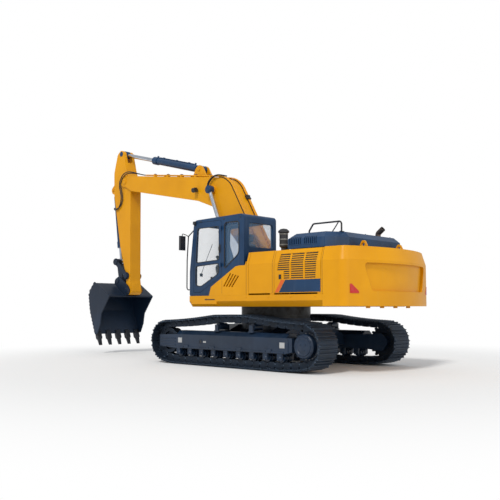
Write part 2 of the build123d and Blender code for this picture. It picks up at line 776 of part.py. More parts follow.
def right_bay():
    """The frame round the pump bay's door on the right."""
    bottom = DECK_TOP_Z + SEAT_GAP
    bay = mirror(body_skin(-1286, -1246, bottom), about=Plane.XZ)
    bay += mirror(body_skin(-2456, -2430, bottom), about=Plane.XZ)
    edge = BODY_TOP_Y - PANEL_T - PANEL_GAP
    roof_low = BODY_TOP_Z - PANEL_T
    bay += block(-2456, -1246, -edge, HOOD_RIGHT_Y - 6, roof_low, BODY_TOP_Z)
    for x_low, x_high in ((-1286, -1246), (-2456, -2430)):
        bay += block(x_low, x_high, 6 - BODY_TOP_Y, 60 - edge, roof_low, BODY_TOP_Z)
    bay += block(-2456, -2346, 4 - DECK_HALF, PANEL_T - DECK_HALF, bottom, DOOR_LOW_Z - SEAT_GAP)
    return bay


def pump_door():
    """The right side's louvred door."""
    door = mirror(body_skin(-2430 + PANEL_GAP, -1286 - PANEL_GAP, DOOR_LOW_Z), about=Plane.XZ)
    for column in (-2300, -1980, -1660):
        for index in range(8):
            low = 1750 + index * 44
            door -= block(column, column + 250, -DECK_HALF - 10, -1300, low, low + 20)
    return door


def hood():
    """The engine hood: a dark lid with sloped edges and slots along its sides."""
    outline = [
        (HOOD_FRONT_X, HOOD_LEFT_Y), (HOOD_REAR_X + 260, HOOD_LEFT_Y), (HOOD_REAR_X, HOOD_LEFT_Y - 420),
        (HOOD_REAR_X, HOOD_RIGHT_Y + 200), (HOOD_REAR_X + 160, HOOD_RIGHT_Y), (HOOD_FRONT_X, HOOD_RIGHT_Y),
    ]
    low = HOOD_LOW_Z
    shell = plan_prism(outline, low, HOOD_CREASE_Z)
    shell += leaning_prism(outline, HOOD_CREASE_Z, HOOD_TOP_Z, HOOD_LEAN)
    inner = [
        (HOOD_FRONT_X - HOOD_WALL, HOOD_LEFT_Y - 90), (HOOD_REAR_X + 330, HOOD_LEFT_Y - 90),
        (HOOD_REAR_X + 90, HOOD_LEFT_Y - 470), (HOOD_REAR_X + 90, HOOD_RIGHT_Y + 260),
        (HOOD_REAR_X + 230, HOOD_RIGHT_Y + 90), (HOOD_FRONT_X - HOOD_WALL, HOOD_RIGHT_Y + 90),
    ]
    shell -= plan_prism(inner, low - 1, HOOD_CREASE_Z)
    shell -= leaning_prism(inner, HOOD_CREASE_Z, HOOD_TOP_Z - HOOD_WALL, HOOD_LEAN)
    for group in (HOOD_FRONT_X - 30, HOOD_FRONT_X - 420):
        for index in range(7):
            place = group - index * 46
            shell -= block(place - 22, place, HOOD_LEFT_Y - 150, HOOD_LEFT_Y + 10, 2480, 2620)
    return shell


def counterweight():
    """The counterweight: a thick curved tail with a leaning top band, a recess and two lifting eyes."""
    def tail(inset, z_low, z_high):
        half = DECK_HALF - inset
        rear = TAIL_R - inset
        corner = TAIL_CORNER_R - inset
        corner_x = -math.sqrt((rear - corner) ** 2 - (half - corner) ** 2)
        share = rear / (rear - corner)
        side = (corner_x * share, (half - corner) * share)
        front = SEAM_X - SEAT_GAP
        edges = [
            Line((front, half), (corner_x, half)),
            TangentArc((corner_x, half), side, tangent=(-1, 0)),
            ThreePointArc(side, (-rear, 0), (side[0], -side[1])),
            TangentArc((corner_x, -half), (side[0], -side[1]), tangent=(-1, 0)),
            Line((corner_x, -half), (front, -half)),
            Line((front, -half), (front, half)),
        ]
        return Plane.XY.offset(z_low) * make_face(Wire(edges)), z_high - z_low

    face, height = tail(0, WEIGHT_LOW_Z, BODY_BEND_Z)
    body = extrude(face, amount=height, dir=(0, 0, 1))
    low_face, _ = tail(0, BODY_BEND_Z, 0)
    top_face, _ = tail(DECK_HALF - BODY_TOP_Y, WEIGHT_TOP_Z, 0)
    body += loft([low_face, top_face], ruled=True)
    body -= block(WELL_REAR_X, SEAM_X + 10, -900, 900, DECK_TOP_Z + 60, WEIGHT_TOP_Z + 10)
    recess = [(-1080, 2080), (1080, 2080), (900, 1555), (-900, 1555)]
    cutter = cross_prism(recess, -TAIL_R - 40, -2900, 60)
    keep = ring(TAIL_R + 200, TAIL_R - 60, 1500, 2150)
    body -= cutter & keep
    for y in (-720, -240, 240, 720):
        body += Pos(-2950, y, WEIGHT_LOW_Z - 38) * Cylinder(
            42, 60, align=(Align.CENTER, Align.CENTER, Align.MIN))
    return body


def lifting_eye(y):
    """One lifting eye on the counterweight's top, a rounded plate on a wider foot."""
    low = WEIGHT_TOP_Z + SEAT_GAP
    plate = side_prism(
        [(EYE_X - 88, low), (EYE_X - 76, low + 60), (EYE_X, low + 205), (EYE_X + 76, low + 60), (EYE_X + 88, low)],
        y - EYE_T / 2, y + EYE_T / 2, [0, 50, 50, 50, 0],
    )
    plate += block(EYE_X - 100, EYE_X + 100, y - 45, y + 45, low, low + 16)
    return plate - cross_pin((EYE_X, low + 66), EYE_BORE_R, y - 60, y + 60)


def cab_outline(inset):
    """The cab's side outline: raked windscreen, flat roof and upright rear."""
    return [
        (CAB_FOOT_X - inset, DECK_TOP_Z + SEAT_GAP + inset),
        (CAB_FOOT_X - inset, 2050),
        (CAB_BROW_X - inset, CAB_ROOF_Z - 30 - inset),
        (CAB_REAR_X + inset, CAB_ROOF_Z - inset),
        (CAB_REAR_X + inset, DECK_TOP_Z + SEAT_GAP + inset),
    ]


def door_outline(inset):
    """The cab door's outline, with its sloping lower rear edge."""
    return [
        (1150 - inset, 1585 + inset), (1150 - inset, 2080), (1080 - inset, 3120 - inset),
        (282 + inset, 3120 - inset), (282 + inset, 1930 + inset * 0.6), (935, 1585 + inset),
    ]


def cab_shell():
    """The cab's hollow frame with all its window and door openings cut."""
    body = side_prism(cab_outline(0), CAB_RIGHT_Y, CAB_LEFT_Y, [40, 200, 120, 90, 30])
    hollow = side_prism(
        cab_outline(CAB_WALL), CAB_RIGHT_Y + CAB_WALL, CAB_LEFT_Y - CAB_WALL, [10, 200, 70, 50, 10])
    body -= hollow
    left = (CAB_LEFT_Y - CAB_WALL - 5, CAB_LEFT_Y + 5)
    right = (CAB_RIGHT_Y - 5, CAB_RIGHT_Y + CAB_WALL + 5)
    body -= side_prism(door_outline(-DOOR_GAP), *left, [30, 200, 60, 60, 60, 60])
    rear_side = [(183, 3060), (-250, 3060), (-250, 2385), (183, 2065)]
    body -= side_prism(rear_side, *left, [40, 60, 60, 40])
    right_window = [(1090, 1750), (1010, 3060), (-290, 3080), (-290, 2080), (200, 1750)]
    body -= side_prism(right_window, *right, [60, 60, 60, 80, 60])
    front = [
        (CAB_RIGHT_Y + 78, 1650), (CAB_LEFT_Y - 78, 1650),
        (CAB_LEFT_Y - 78, 3060), (CAB_RIGHT_Y + 78, 3060),
    ]
    body -= cross_prism(front, 1000, CAB_FOOT_X + 10, 60)
    rear = [(540, 2520), (1300, 2520), (1300, 3030), (540, 3030)]
    body -= cross_prism(rear, CAB_REAR_X - 5, CAB_REAR_X + CAB_WALL + 5, 60)
    hatch = [(250, 600), (850, 600), (850, 1290), (250, 1290)]
    body -= plan_prism(hatch, CAB_ROOF_Z - 140, CAB_ROOF_Z + 5, 50)
    top = 3120 + SEAT_GAP
    body += block(300, 360, CAB_LEFT_Y - DOOR_T, CAB_LEFT_Y, top, 3160)
    return body


def cab_door():
    """The door's frame with its tall window and its small lower window cut."""
    y_high = CAB_LEFT_Y
    y_low = CAB_LEFT_Y - DOOR_T
    door = side_prism(door_outline(0), y_low, y_high, [30, 200, 60, 60, 60, 60])
    upper = [(1085, 2235), (1040, 2995), (352, 2995), (352, 2270)]
    lower = [(1090, 1740), (1090, 2155), (352, 2195), (352, 1985), (920, 1710)]
    door -= side_prism(upper, y_low - 1, y_high + 1, [30, 60, 60, 40])
    door -= side_prism(lower, y_low - 1, y_high + 1, [20, 30, 20, 20, 40])
    for z in (2160, 2950):
        door += Pos(HINGE[0], HINGE[1], z) * Cylinder(13, 100)
        door += block(HINGE[0] - 6, HINGE[0] + 6, y_high + 8, HINGE[1], z - 35, z + 35)
        door += block(HINGE[0] - 6, 340, y_high + 8, y_high + 20, z - 35, z + 35)
        door += block(290, 340, y_high, y_high + 20, z - 35, z + 35)
    return door


def door_glass():
    """The two panes of the cab door, set in the middle of its frame."""
    middle = CAB_LEFT_Y - DOOR_T / 2
    gap = SEAT_GAP
    upper = [(1085 - gap, 2235 + gap), (1040 - gap, 2995 - gap), (352 + gap, 2995 - gap), (352 + gap, 2270 + gap)]
    lower = [
        (1090 - gap, 1740 + gap), (1090 - gap, 2155 - gap), (352 + gap, 2195 - gap), (352 + gap, 1985 + gap),
        (920, 1710 + gap),
    ]
    return [
        side_prism(upper, middle - GLASS_T / 2, middle + GLASS_T / 2, [30, 60, 60, 40]),
        side_prism(lower, middle - GLASS_T / 2, middle + GLASS_T / 2, [20, 30, 20, 20, 40]),
    ]


def cab_glass():
    """The fixed panes: rear left, right, rear and roof, and the raked windscreen."""
    gap = SEAT_GAP
    left_mid = CAB_LEFT_Y - CAB_WALL / 2
    right_mid = CAB_RIGHT_Y + CAB_WALL / 2
    half = GLASS_T / 2
    rear_side = [
        (183 - gap, 3060 - gap), (-250 + gap, 3060 - gap), (-250 + gap, 2385 + gap), (183 - gap, 2065 + gap),
    ]
    right_window = [
        (1090 - gap * 2, 1750 + gap), (1010 - gap * 2, 3060 - gap), (-290 + gap, 3080 - gap * 2),
        (-290 + gap, 2080 + gap), (200 + gap, 1750 + gap),
    ]
    panes = [
        side_prism(rear_side, left_mid - half, left_mid + half, [40, 60, 60, 40]),
        side_prism(right_window, right_mid - half, right_mid + half, [60, 60, 60, 80, 60]),
    ]
    rear = [(540 + gap, 2520 + gap), (1300 - gap, 2520 + gap), (1300 - gap, 3030 - gap), (540 + gap, 3030 - gap)]
    middle = CAB_REAR_X + CAB_WALL / 2
    panes.append(cross_prism(rear, middle - half, middle + half, 60))
    hatch = [(250 + gap, 600 + gap), (850 - gap, 600 + gap), (850 - gap, 1290 - gap), (250 + gap, 1290 - gap)]
    panes.append(plan_prism(hatch, CAB_ROOF_Z - 50, CAB_ROOF_Z - 30, 50))
    screen_side = side_prism(cab_outline(CAB_WALL / 2 - half), CAB_RIGHT_Y, CAB_LEFT_Y, [40, 200, 120, 90, 30])
    screen_side -= side_prism(cab_outline(CAB_WALL / 2 + half), 0, 2000, [40, 200, 120, 90, 30])
    front = [
        (CAB_RIGHT_Y + 78 + gap, 1650 + gap), (CAB_LEFT_Y - 78 - gap, 1650 + gap),
        (CAB_LEFT_Y - 78 - gap, 3060 - gap), (CAB_RIGHT_Y + 78 + gap, 3060 - gap),
    ]
    panes.append(screen_side & cross_prism(front, 1000, CAB_FOOT_X + 10, 60))
    return panes


def seat():
    """The operator's seat: cushion, back and head rest on a sprung base."""
    floor = DECK_TOP_Z + SEAT_GAP + CAB_WALL + SEAT_GAP
    middle = (CAB_RIGHT_Y + CAB_LEFT_Y) / 2
    base = block(60, 420, middle - 190, middle + 190, floor, 1870)
    cushion = side_prism(
        [(20, 1870), (560, 1870), (560, 2000), (20, 1970)], middle - 245, middle + 245, 45)
    back = side_prism(
        [(20, 1900), (120, 1900), (10, 2640), (-110, 2640)], middle - 235, middle + 235, [10, 20, 50, 50])
    head = side_prism(
        [(-95, 2660), (5, 2660), (-15, 2840), (-110, 2840)], middle - 130, middle + 130, 35)
    stem = side_prism([(-60, 2600), (-30, 2600), (-50, 2700), (-80, 2700)], middle - 60, middle + 60)
    return base + cushion + back + head + stem


def cab_controls():
    """The two side consoles with their levers, the travel pedals and the monitor post."""
    floor = DECK_TOP_Z + SEAT_GAP + CAB_WALL + SEAT_GAP
    middle = (CAB_RIGHT_Y + CAB_LEFT_Y) / 2
    consoles = []
    for side in (-1, 1):
        near = middle + side * 290
        far = middle + side * 410
        low, high = min(near, far), max(near, far)
        console = side_prism(
            [(0, floor), (420, floor), (560, 2120), (520, 2170), (-60, 2100)], low, high, [10, 30, 30, 30, 30])
        lever = rod_between((520, 2130), (560, 2320), 16, middle + side * 350)
        knob = Pos(563, middle + side * 350, 2350) * Sphere(34)
        consoles.append(console + lever + knob)
    pedals = block(900, 1010, middle - 160, middle + 160, floor, floor + 50)
    for y in (middle - 90, middle + 90):
        pedals += rod_between((955, floor + 30), (1010, floor + 330), 14, y)
        pedals += rod_between((1010, floor + 310), (1025, floor + 370), 24, y)
    consoles.append(pedals)
    return consoles


def engine():
    """The engine, one plain block at its place under the hood, on its mounts."""
    return block(-2350, -1350, -520, 380, DECK_TOP_Z + SEAT_GAP, 2330)


def cooler():
    """The cooler pack behind the left grille."""
    return block(-2360, -1330, 900, 1080, DECK_TOP_Z + SEAT_GAP, 2330)


def pre_cleaner():
    """The air intake: a cylinder with a wider cap on a short pipe."""
    profile = Polyline(
        (0, BODY_TOP_Z + SEAT_GAP), (56, BODY_TOP_Z + SEAT_GAP), (56, 2480), (90, 2505), (90, 2790),
        (116, 2800), (116, 2832), (70, 2872), (0, 2886), close=True,
    )
    body = revolve(Plane.XZ * make_face(profile), axis=Axis.Z)
    return Pos(-1010, 900, 0) * body


def exhaust():
    """The exhaust's slanted tail pipe above the hood."""
    path = FilletPolyline((0, 0, 0), (0, 0, 130), (-130, 0, 230), radius=60)
    plane = Plane(origin=(0, 0, 0), z_dir=(0, 0, 1))
    pipe = sweep(plane * Circle(58), path=path)
    pipe -= sweep(plane * Circle(50), path=path)
    return Pos(-2150, -880, HOOD_TOP_Z + SEAT_GAP) * pipe


def hood_rail():
    """The hand rail along the hood's left edge, a bent tube with a brace."""
    base = HOOD_TOP_Z + SEAT_GAP
    y = 960
    path = FilletPolyline(
        (-1736, y, base), (-1736, y, base + 70), (-1840, y, 2908), (-2528, y, 2908), (-2528, y, base),
        radius=[40, 60, 60])
    return sweep(Plane(origin=(-1736, y, base), z_dir=(0, 0, 1)) * Circle(17), path=path)


def mirror_left():
    """The left mirror on its bent arm at the cab's front post, with the long grab rail below it."""
    rail_x = CAB_FOOT_X + 128
    y = CAB_LEFT_Y - 30
    foot = (CAB_FOOT_X + SEAT_GAP, y, 1645)
    rail = sweep(
        Plane(origin=foot, z_dir=(1, 0, 0)) * Circle(13),
        path=FilletPolyline(
            foot, (rail_x, y, 1645), (rail_x, y, 2300), (rail_x - 38, y, 2850), (CAB_BROW_X + 35, y, 2975), radius=60),
    )
    arm = sweep(
        Plane(origin=(rail_x - 40, y + 11, 2846), z_dir=(0, 1, 0)) * Circle(10),
        path=FilletPolyline(
            (rail_x - 40, y + 11, 2846), (rail_x - 40, y + 60, 2870), (rail_x - 14, y + 162, 2900),
            (rail_x - 14, y + 162, 2830), radius=18),
    )
    glass = plan_prism([(-26, -88), (26, -88), (26, 88), (-26, 88)], 2525, 2845, 24)
    return rail + arm + Pos(rail_x - 14, y + 162, 0) * glass


def deck_rail():
    """The hand rail beside the right side's steps, with its mirror post."""
    base = 1960 + SEAT_GAP
    path = FilletPolyline(
        (1180, -1440, base), (1180, -1440, 2620), (760, -1440, 2900), (100, -1440, 2900), (100, -1440, 2421),
        radius=60)
    return sweep(Plane(origin=(1180, -1440, base), z_dir=(0, 0, 1)) * Circle(17), path=path)


def boom_body():
    """The boom: a bent box girder that narrows to its foot and tip, with a forked nose."""
    outline = [
        BOOM_FOOT_BACK,
        BOOM_BACK[0],
        BOOM_BACK[1],
        BOOM_TIP_TOP,
        (TIP[0] + 150, TIP[1] + 120),
        (TIP[0] + 150, TIP[1] - 120),
        (TIP[0] - 60, TIP[1] - TIP_BOSS_R - 10),
        (5120, 4458),
        BOOM_BELLY[1],
        BOOM_BELLY[0],
        (FOOT[0] + 120, FOOT[1] - 70),
        (FOOT[0] + 10, FOOT[1] - 128),
        (FOOT[0] - 115, FOOT[1] - 60),
    ]
    radii = [0, 300, 620, 60, 110, 110, 90, 120, 500, 110, 60, 60, 60]
    body = side_prism(outline, -BOOM_HALF, BOOM_HALF, radii)
    wall = BOOM_WALL
    hollow = [
        (210, 2120), (850, 3380), (1390, 4310), (4540, 4745), (4540, 4385), (2010, 3840), (360, 2090),
    ]
    cavity = side_prism(hollow, -BOOM_HALF + wall, BOOM_HALF - wall, [0, 250, 560, 20, 20, 400, 0])
    body -= cavity
    slot_half = ARM_HALF + RUN_GAP
    body -= side_prism(
        [(4980, 4000), (4995, 4440), (5060, 4560), (5060, 4700), (4560, 4815), (4560, 5300), (5900, 5300),
         (5900, 4000)], -slot_half, slot_half,
    )
    bracket = [
        (CROWD_BASE[0] - 330, 4425), (CROWD_BASE[0] - 110, CROWD_BASE[1] + 60), (CROWD_BASE[0], CROWD_BASE[1] + 118),
        (CROWD_BASE[0] + 120, CROWD_BASE[1] + 40), (CROWD_BASE[0] + 260, 4500),
    ]
    lug_low = CROWD_EYE_HALF + RUN_GAP
    for plate in both_sides(side_prism(bracket, lug_low, lug_low + 42, [0, 90, 90, 90, 0])):
        body += plate
    boss_end = LIFT_Y - LIFT_EYE_HALF - RUN_GAP
    body += cross_pin(ROD_PIN, 105, -boss_end, boss_end)
    body += cross_pin(FOOT, FOOT_BOSS_R, -BOOM_HALF, BOOM_HALF)
    body -= pin_bore(FOOT, FOOT_PIN_R, BOOM_HALF + 1)
    body += cross_pin(CROWD_BASE, CROWD_PIN_R, -lug_low - 62, lug_low + 62)
    body += cross_pin(TIP, BOOM_PIN_R, -BOOM_HALF, BOOM_HALF)
    for y in (BOOM_HALF, -BOOM_HALF - 8):
        body += cross_pin(TIP, 105, y, y + 8)
    return body


def work_lamp(centre_x, centre_z, y):
    """One work lamp on a short bracket at the boom's left side."""
    lamp = Pos(centre_x, y + 95, centre_z) * Rot(0, 90, 0) * Cylinder(60, 110)
    return lamp + block(centre_x - 25, centre_x + 25, y, y + 60, centre_z - 30, centre_z + 20)


def boom_lines():
    """The steel oil lines clamped along the boom's top, from the foot to the nose."""
    lines = []
    low = along(BOOM_FOOT_BACK, direction(BOOM_FOOT_BACK, BOOM_BACK[0])[0], 800)
    high = along(BOOM_BACK[1], direction(BOOM_BACK[1], BOOM_TIP_TOP)[0], 3200)
    route = offset_points([low, BOOM_BACK[0], BOOM_BACK[1], high], LINE_LIFT)
    for y in (-200, -160, 160, 200):
        places = [(x, y, z) for x, z in route]
        path = FilletPolyline(*places, radius=[300 + LINE_LIFT, 620 + LINE_LIFT])
        heading = Vector(*places[1]) - Vector(*places[0])
        lines.append(sweep(Plane(origin=places[0], z_dir=heading) * Circle(LINE_R), path=path))
    left = lines[2] + lines[3]
    right = lines[0] + lines[1]
    spots = []
    for begin, end, count in ((route[0], route[1], 2), (route[2], route[3], 5)):
        unit, length = direction(begin, end)
        for index in range(count):
            middle = along(begin, unit, length * (0.2 + 0.68 * index / (count - 1)))
            spots.append((middle, unit))
    for middle, unit in spots:
        normal = (-unit[1], unit[0])
        points = [
            along(along(middle, unit, -30), normal, SEAT_GAP - LINE_LIFT),
            along(along(middle, unit, 30), normal, SEAT_GAP - LINE_LIFT),
            along(along(middle, unit, 30), normal, LINE_R + 5),
            along(along(middle, unit, -30), normal, LINE_R + 5),
        ]
        left += side_prism(points, 138, 221)
        right += side_prism(points, -221, -138)
    return [left, right]


def cylinder_barrel(base, end, y, radius, head_r, length, eye_r, eye_half):
    """A cylinder's barrel with its base eye and its head, along the line towards the rod's eye."""
    unit, _ = direction(base, end)
    neck = along(base, unit, NECK_L)
    head_start = along(base, unit, length - 170)
    head_end = along(base, unit, length)
    body = rod_between(base, neck, eye_half, y)
    body += rod_between(neck, head_start, radius, y)
    body += rod_between(head_start, head_end, head_r, y)
    body += cross_pin(base, eye_r, y - eye_half, y + eye_half)
    return body


def cylinder_rod(base, end, y, radius, length, eye_r, eye_half, stub):
    """A cylinder's rod with its eye, and the stub that stays inside the barrel."""
    unit, _ = direction(base, end)
    start = along(base, unit, length - stub)
    body = rod_between(start, end, radius, y)
    body += cross_pin(end, eye_r, y - eye_half, y + eye_half)
    return body


def barrel_with_bore(base, end, y, radius, head_r, length, eye_r, eye_half, rod_r, pin_r):
    """A barrel bored from its head, deep enough for the rod's whole stroke, and through its eye."""
    body = cylinder_barrel(base, end, y, radius, head_r, length, eye_r, eye_half)
    unit, _ = direction(base, end)
    bore_start = along(base, unit, NECK_L + 40)
    bore_end = along(base, unit, length + 1)
    body -= rod_between(bore_start, bore_end, rod_r + PIN_GAP, y)
    return body - pin_bore(base, pin_r, eye_half + 1, y)


def arm_body():
    """The arm: a tapered box with its horn above the pivot and its boss at the bucket pin."""
    outline = [
        (HORN[0] - 95, HORN[1] + 40), (HORN[0] + 10, HORN[1] + 118), (HORN[0] + 178, HORN[1] + 5),
        (5998, 5080), (5985, 4450), (5660, 2950), (5365, 2080),
        (BUCKET_PIN[0] + 118, BUCKET_PIN[1] - 60), (BUCKET_PIN[0], BUCKET_PIN[1] - 132),
        (BUCKET_PIN[0] - 118, BUCKET_PIN[1] - 60), (5185, 2000), (5222, 4480), (TIP[0] - 192, TIP[1] + 60),
        (5400, 5010),
    ]
    radii = [60, 80, 160, 300, 300, 300, 300, 90, 60, 90, 300, 100, 120, 160]
    body = side_prism(outline, -ARM_HALF, ARM_HALF, radii)
    hollow = [(5860, 5000), (5860, 4470), (5570, 2960), (5360, 2320), (5215, 2320), (5250, 4450), (5480, 5040)]
    body -= side_prism(hollow, -ARM_HALF + ARM_WALL, ARM_HALF - ARM_WALL, [60, 60, 60, 20, 20, 60, 60])
    horn_slot = CROWD_EYE_HALF + RUN_GAP
    body -= side_prism(
        [(5200, 5330), (5760, 5330), (5860, 5420), (6000, 5440), (6000, 5900), (5200, 5900)], -horn_slot, horn_slot,
        [0, 60, 60, 0, 0, 0],
    )
    lug = [(5900, 4420), (CURL_BASE[0] + 40, CURL_BASE[1] - 110), (CURL_BASE[0] + 105, CURL_BASE[1] + 10),
           (CURL_BASE[0], CURL_BASE[1] + 105), (5900, 4900)]
    lug_low = CURL_EYE_HALF + RUN_GAP
    for plate in both_sides(side_prism(lug, lug_low, lug_low + 36, [0, 70, 70, 70, 0])):
        body += plate
    body += cross_pin(TIP, ARM_BOSS_R - 60, -ARM_HALF, ARM_HALF)
    body -= pin_bore(TIP, BOOM_PIN_R, ARM_HALF + 1)
    ear_outer = ARM_HALF + BUCKET_EAR_GAP + BUCKET_EAR_T
    body += cross_pin(BUCKET_PIN, BUCKET_PIN_R, -ear_outer - 24, ear_outer + 24)
    for cap in both_sides(cross_pin(BUCKET_PIN, BUCKET_PIN_R + 26, ear_outer + SEAT_GAP, ear_outer + 24)):
        body += cap
    rocker_outer = ARM_HALF + ROCKER_GAP + ROCKER_T
    body += cross_pin(ROCKER_PIN, ROCKER_PIN_R, -rocker_outer - 22, rocker_outer + 22)
    for cap in both_sides(cross_pin(ROCKER_PIN, ROCKER_PIN_R + 24, rocker_outer + SEAT_GAP, rocker_outer + 22)):
        body += cap
    body += cross_pin(CURL_BASE, CURL_PIN_R, -lug_low - 56, lug_low + 56)
    return body


def rocker():
    """The two rocker plates beside the arm, joined by the pin at their far end."""
    inner = ARM_HALF + ROCKER_GAP
    outer = inner + ROCKER_T
    unit, _ = direction(ROCKER_PIN, LINK_TOP)
    normal = (-unit[1], unit[0])
    waist = []
    for place, side in ((ROCKER_PIN, 1), (LINK_TOP, 1), (LINK_TOP, -1), (ROCKER_PIN, -1)):
        waist.append(along(place, normal, side * ROCKER_WAIST))
    plate = side_prism(waist, inner, outer)
    for place in (ROCKER_PIN, LINK_TOP):
        plate += cross_pin(place, ROCKER_R, inner, outer)
    boss_low = CURL_EYE_HALF + RUN_GAP + LINK_EAR_T + RUN_GAP
    plate += cross_pin(LINK_TOP, ROCKER_R - 10, boss_low, outer + 14)
    plate -= pin_bore(ROCKER_PIN, ROCKER_PIN_R, 400)
    return both_sides(plate)


def bucket_link():
    """The connecting link: two ears at its top and one broad boss at the bucket."""
    unit, length = direction(LINK_FOOT, LINK_TOP)
    ear_low = CURL_EYE_HALF + RUN_GAP
    plane = Plane.XZ.offset(-ear_low - LINK_EAR_T)
    angle = math.degrees(math.atan2(unit[1], unit[0]))
    middle = along(LINK_FOOT, unit, length / 2)
    slot = plane * Pos(middle[0], middle[1]) * Rot(0, 0, angle) * SlotCenterToCenter(length, LINK_R * 2)
    plate = extrude(slot, amount=LINK_EAR_T, dir=(0, -1, 0))
    body = both_sides(plate)
    ear_outer = ARM_HALF + BUCKET_EAR_GAP
    whole = body[0] + body[1]
    whole += cross_pin(LINK_FOOT, LINK_R, -ear_outer + 12, ear_outer - 12)
    web_low = along(LINK_FOOT, unit, 60)
    web_high = along(LINK_FOOT, unit, 330)
    whole += rod_between(web_low, web_high, 60, 0)
    return whole - pin_bore(LINK_FOOT, LINK_PIN_R, 400)


def bucket_points():
    """The bucket shell's side outline at rest, from the mouth's top edge round to the lip."""
    a = BUCKET_PIN
    return [
        (a[0] + 100, a[1] - 150), (a[0] + 790, a[1] + 262), (a[0] + 1085, a[1] - 60),
        (a[0] + 1000, a[1] - 560), (a[0] + 745, a[1] - 1200),
    ]


def bucket_shell():
    """The bucket: a rolled shell between two side plates, with its lip, ears and side cutters."""
    points = bucket_points()
    a = BUCKET_PIN
    mouth = [(a[0] + 640, a[1] - 1180), (a[0] + 520, a[1] - 930), (a[0] + 470, a[1] - 640)]
    outline = points + mouth
    radii = [30, 190, 330, 260, 0, 60, 120, 120]
    body = side_prism(outline, -BUCKET_HALF, BUCKET_HALF, radii)
    t = BUCKET_SHELL_T
    inner = [
        (a[0] + 122, a[1] - 176), (a[0] + 782, a[1] + 228), (a[0] + 1055, a[1] - 66),
        (a[0] + 972, a[1] - 556), (a[0] + 715, a[1] - 1205), (a[0] + 300, a[1] - 1300), (a[0] - 50, a[1] - 700),
    ]
    inner_radii = [20, 165, 305, 235, 0, 0, 0]
    body -= side_prism(inner, -BUCKET_HALF + BUCKET_SIDE_T, BUCKET_HALF - BUCKET_SIDE_T, inner_radii)
    ear = [
        (a[0] - 20, a[1] - 105), (a[0] - 75, a[1]), (a[0] - 10, a[1] + 110), (LINK_FOOT[0] - 60, LINK_FOOT[1] + 118),
        (LINK_FOOT[0] + 118, LINK_FOOT[1] + 30), (LINK_FOOT[0] + 130, LINK_FOOT[1] - 90), (a[0] + 140, a[1] - 150),
    ]
    ear_low = ARM_HALF + BUCKET_EAR_GAP
    ear_high = ear_low + BUCKET_EAR_T
    for plate in both_sides(side_prism(ear, ear_low, ear_high, [50, 50, 60, 90, 80, 60, 40])):
        body += plate
    body -= pin_bore(BUCKET_PIN, BUCKET_PIN_R, ear_high + 1)
    body += cross_pin(LINK_FOOT, LINK_PIN_R, -ear_high - 18, ear_high + 18)
    for cap in both_sides(cross_pin(LINK_FOOT, LINK_PIN_R + 26, ear_high, ear_high + 18)):
        body += cap
    return body


def bucket_teeth():
    """The five teeth, each an adapter that grips the lip's plate and a pointed tip."""
    outer = bucket_points()
    lip = outer[-1]
    down, _ = direction(outer[-2], lip)
    mouthwards = (down[1], -down[0])
    adapter = [
        (-100, -SEAT_GAP), (-80, -34), (110, -42), (150, -26), (150, 46), (110, 66), (-80, 60),
        (-100, 27.5), (7, 27.5), (7, -SEAT_GAP),
    ]
    point = [(130, -32), (TOOTH_L, 2), (TOOTH_L, 20), (130, 54)]
    teeth = []
    for index in range(TOOTH_COUNT):
        y = (index / (TOOTH_COUNT - 1) - 0.5) * TOOTH_SPAN
        pieces = []
        for profile, width in ((adapter, ADAPTER_W), (point, TOOTH_W)):
            places = [along(along(lip, down, far), mouthwards, side) for far, side in profile]
            pieces.append(side_prism(places, y - width / 2, y + width / 2))
        teeth.append(pieces[0] + pieces[1])
    return teeth


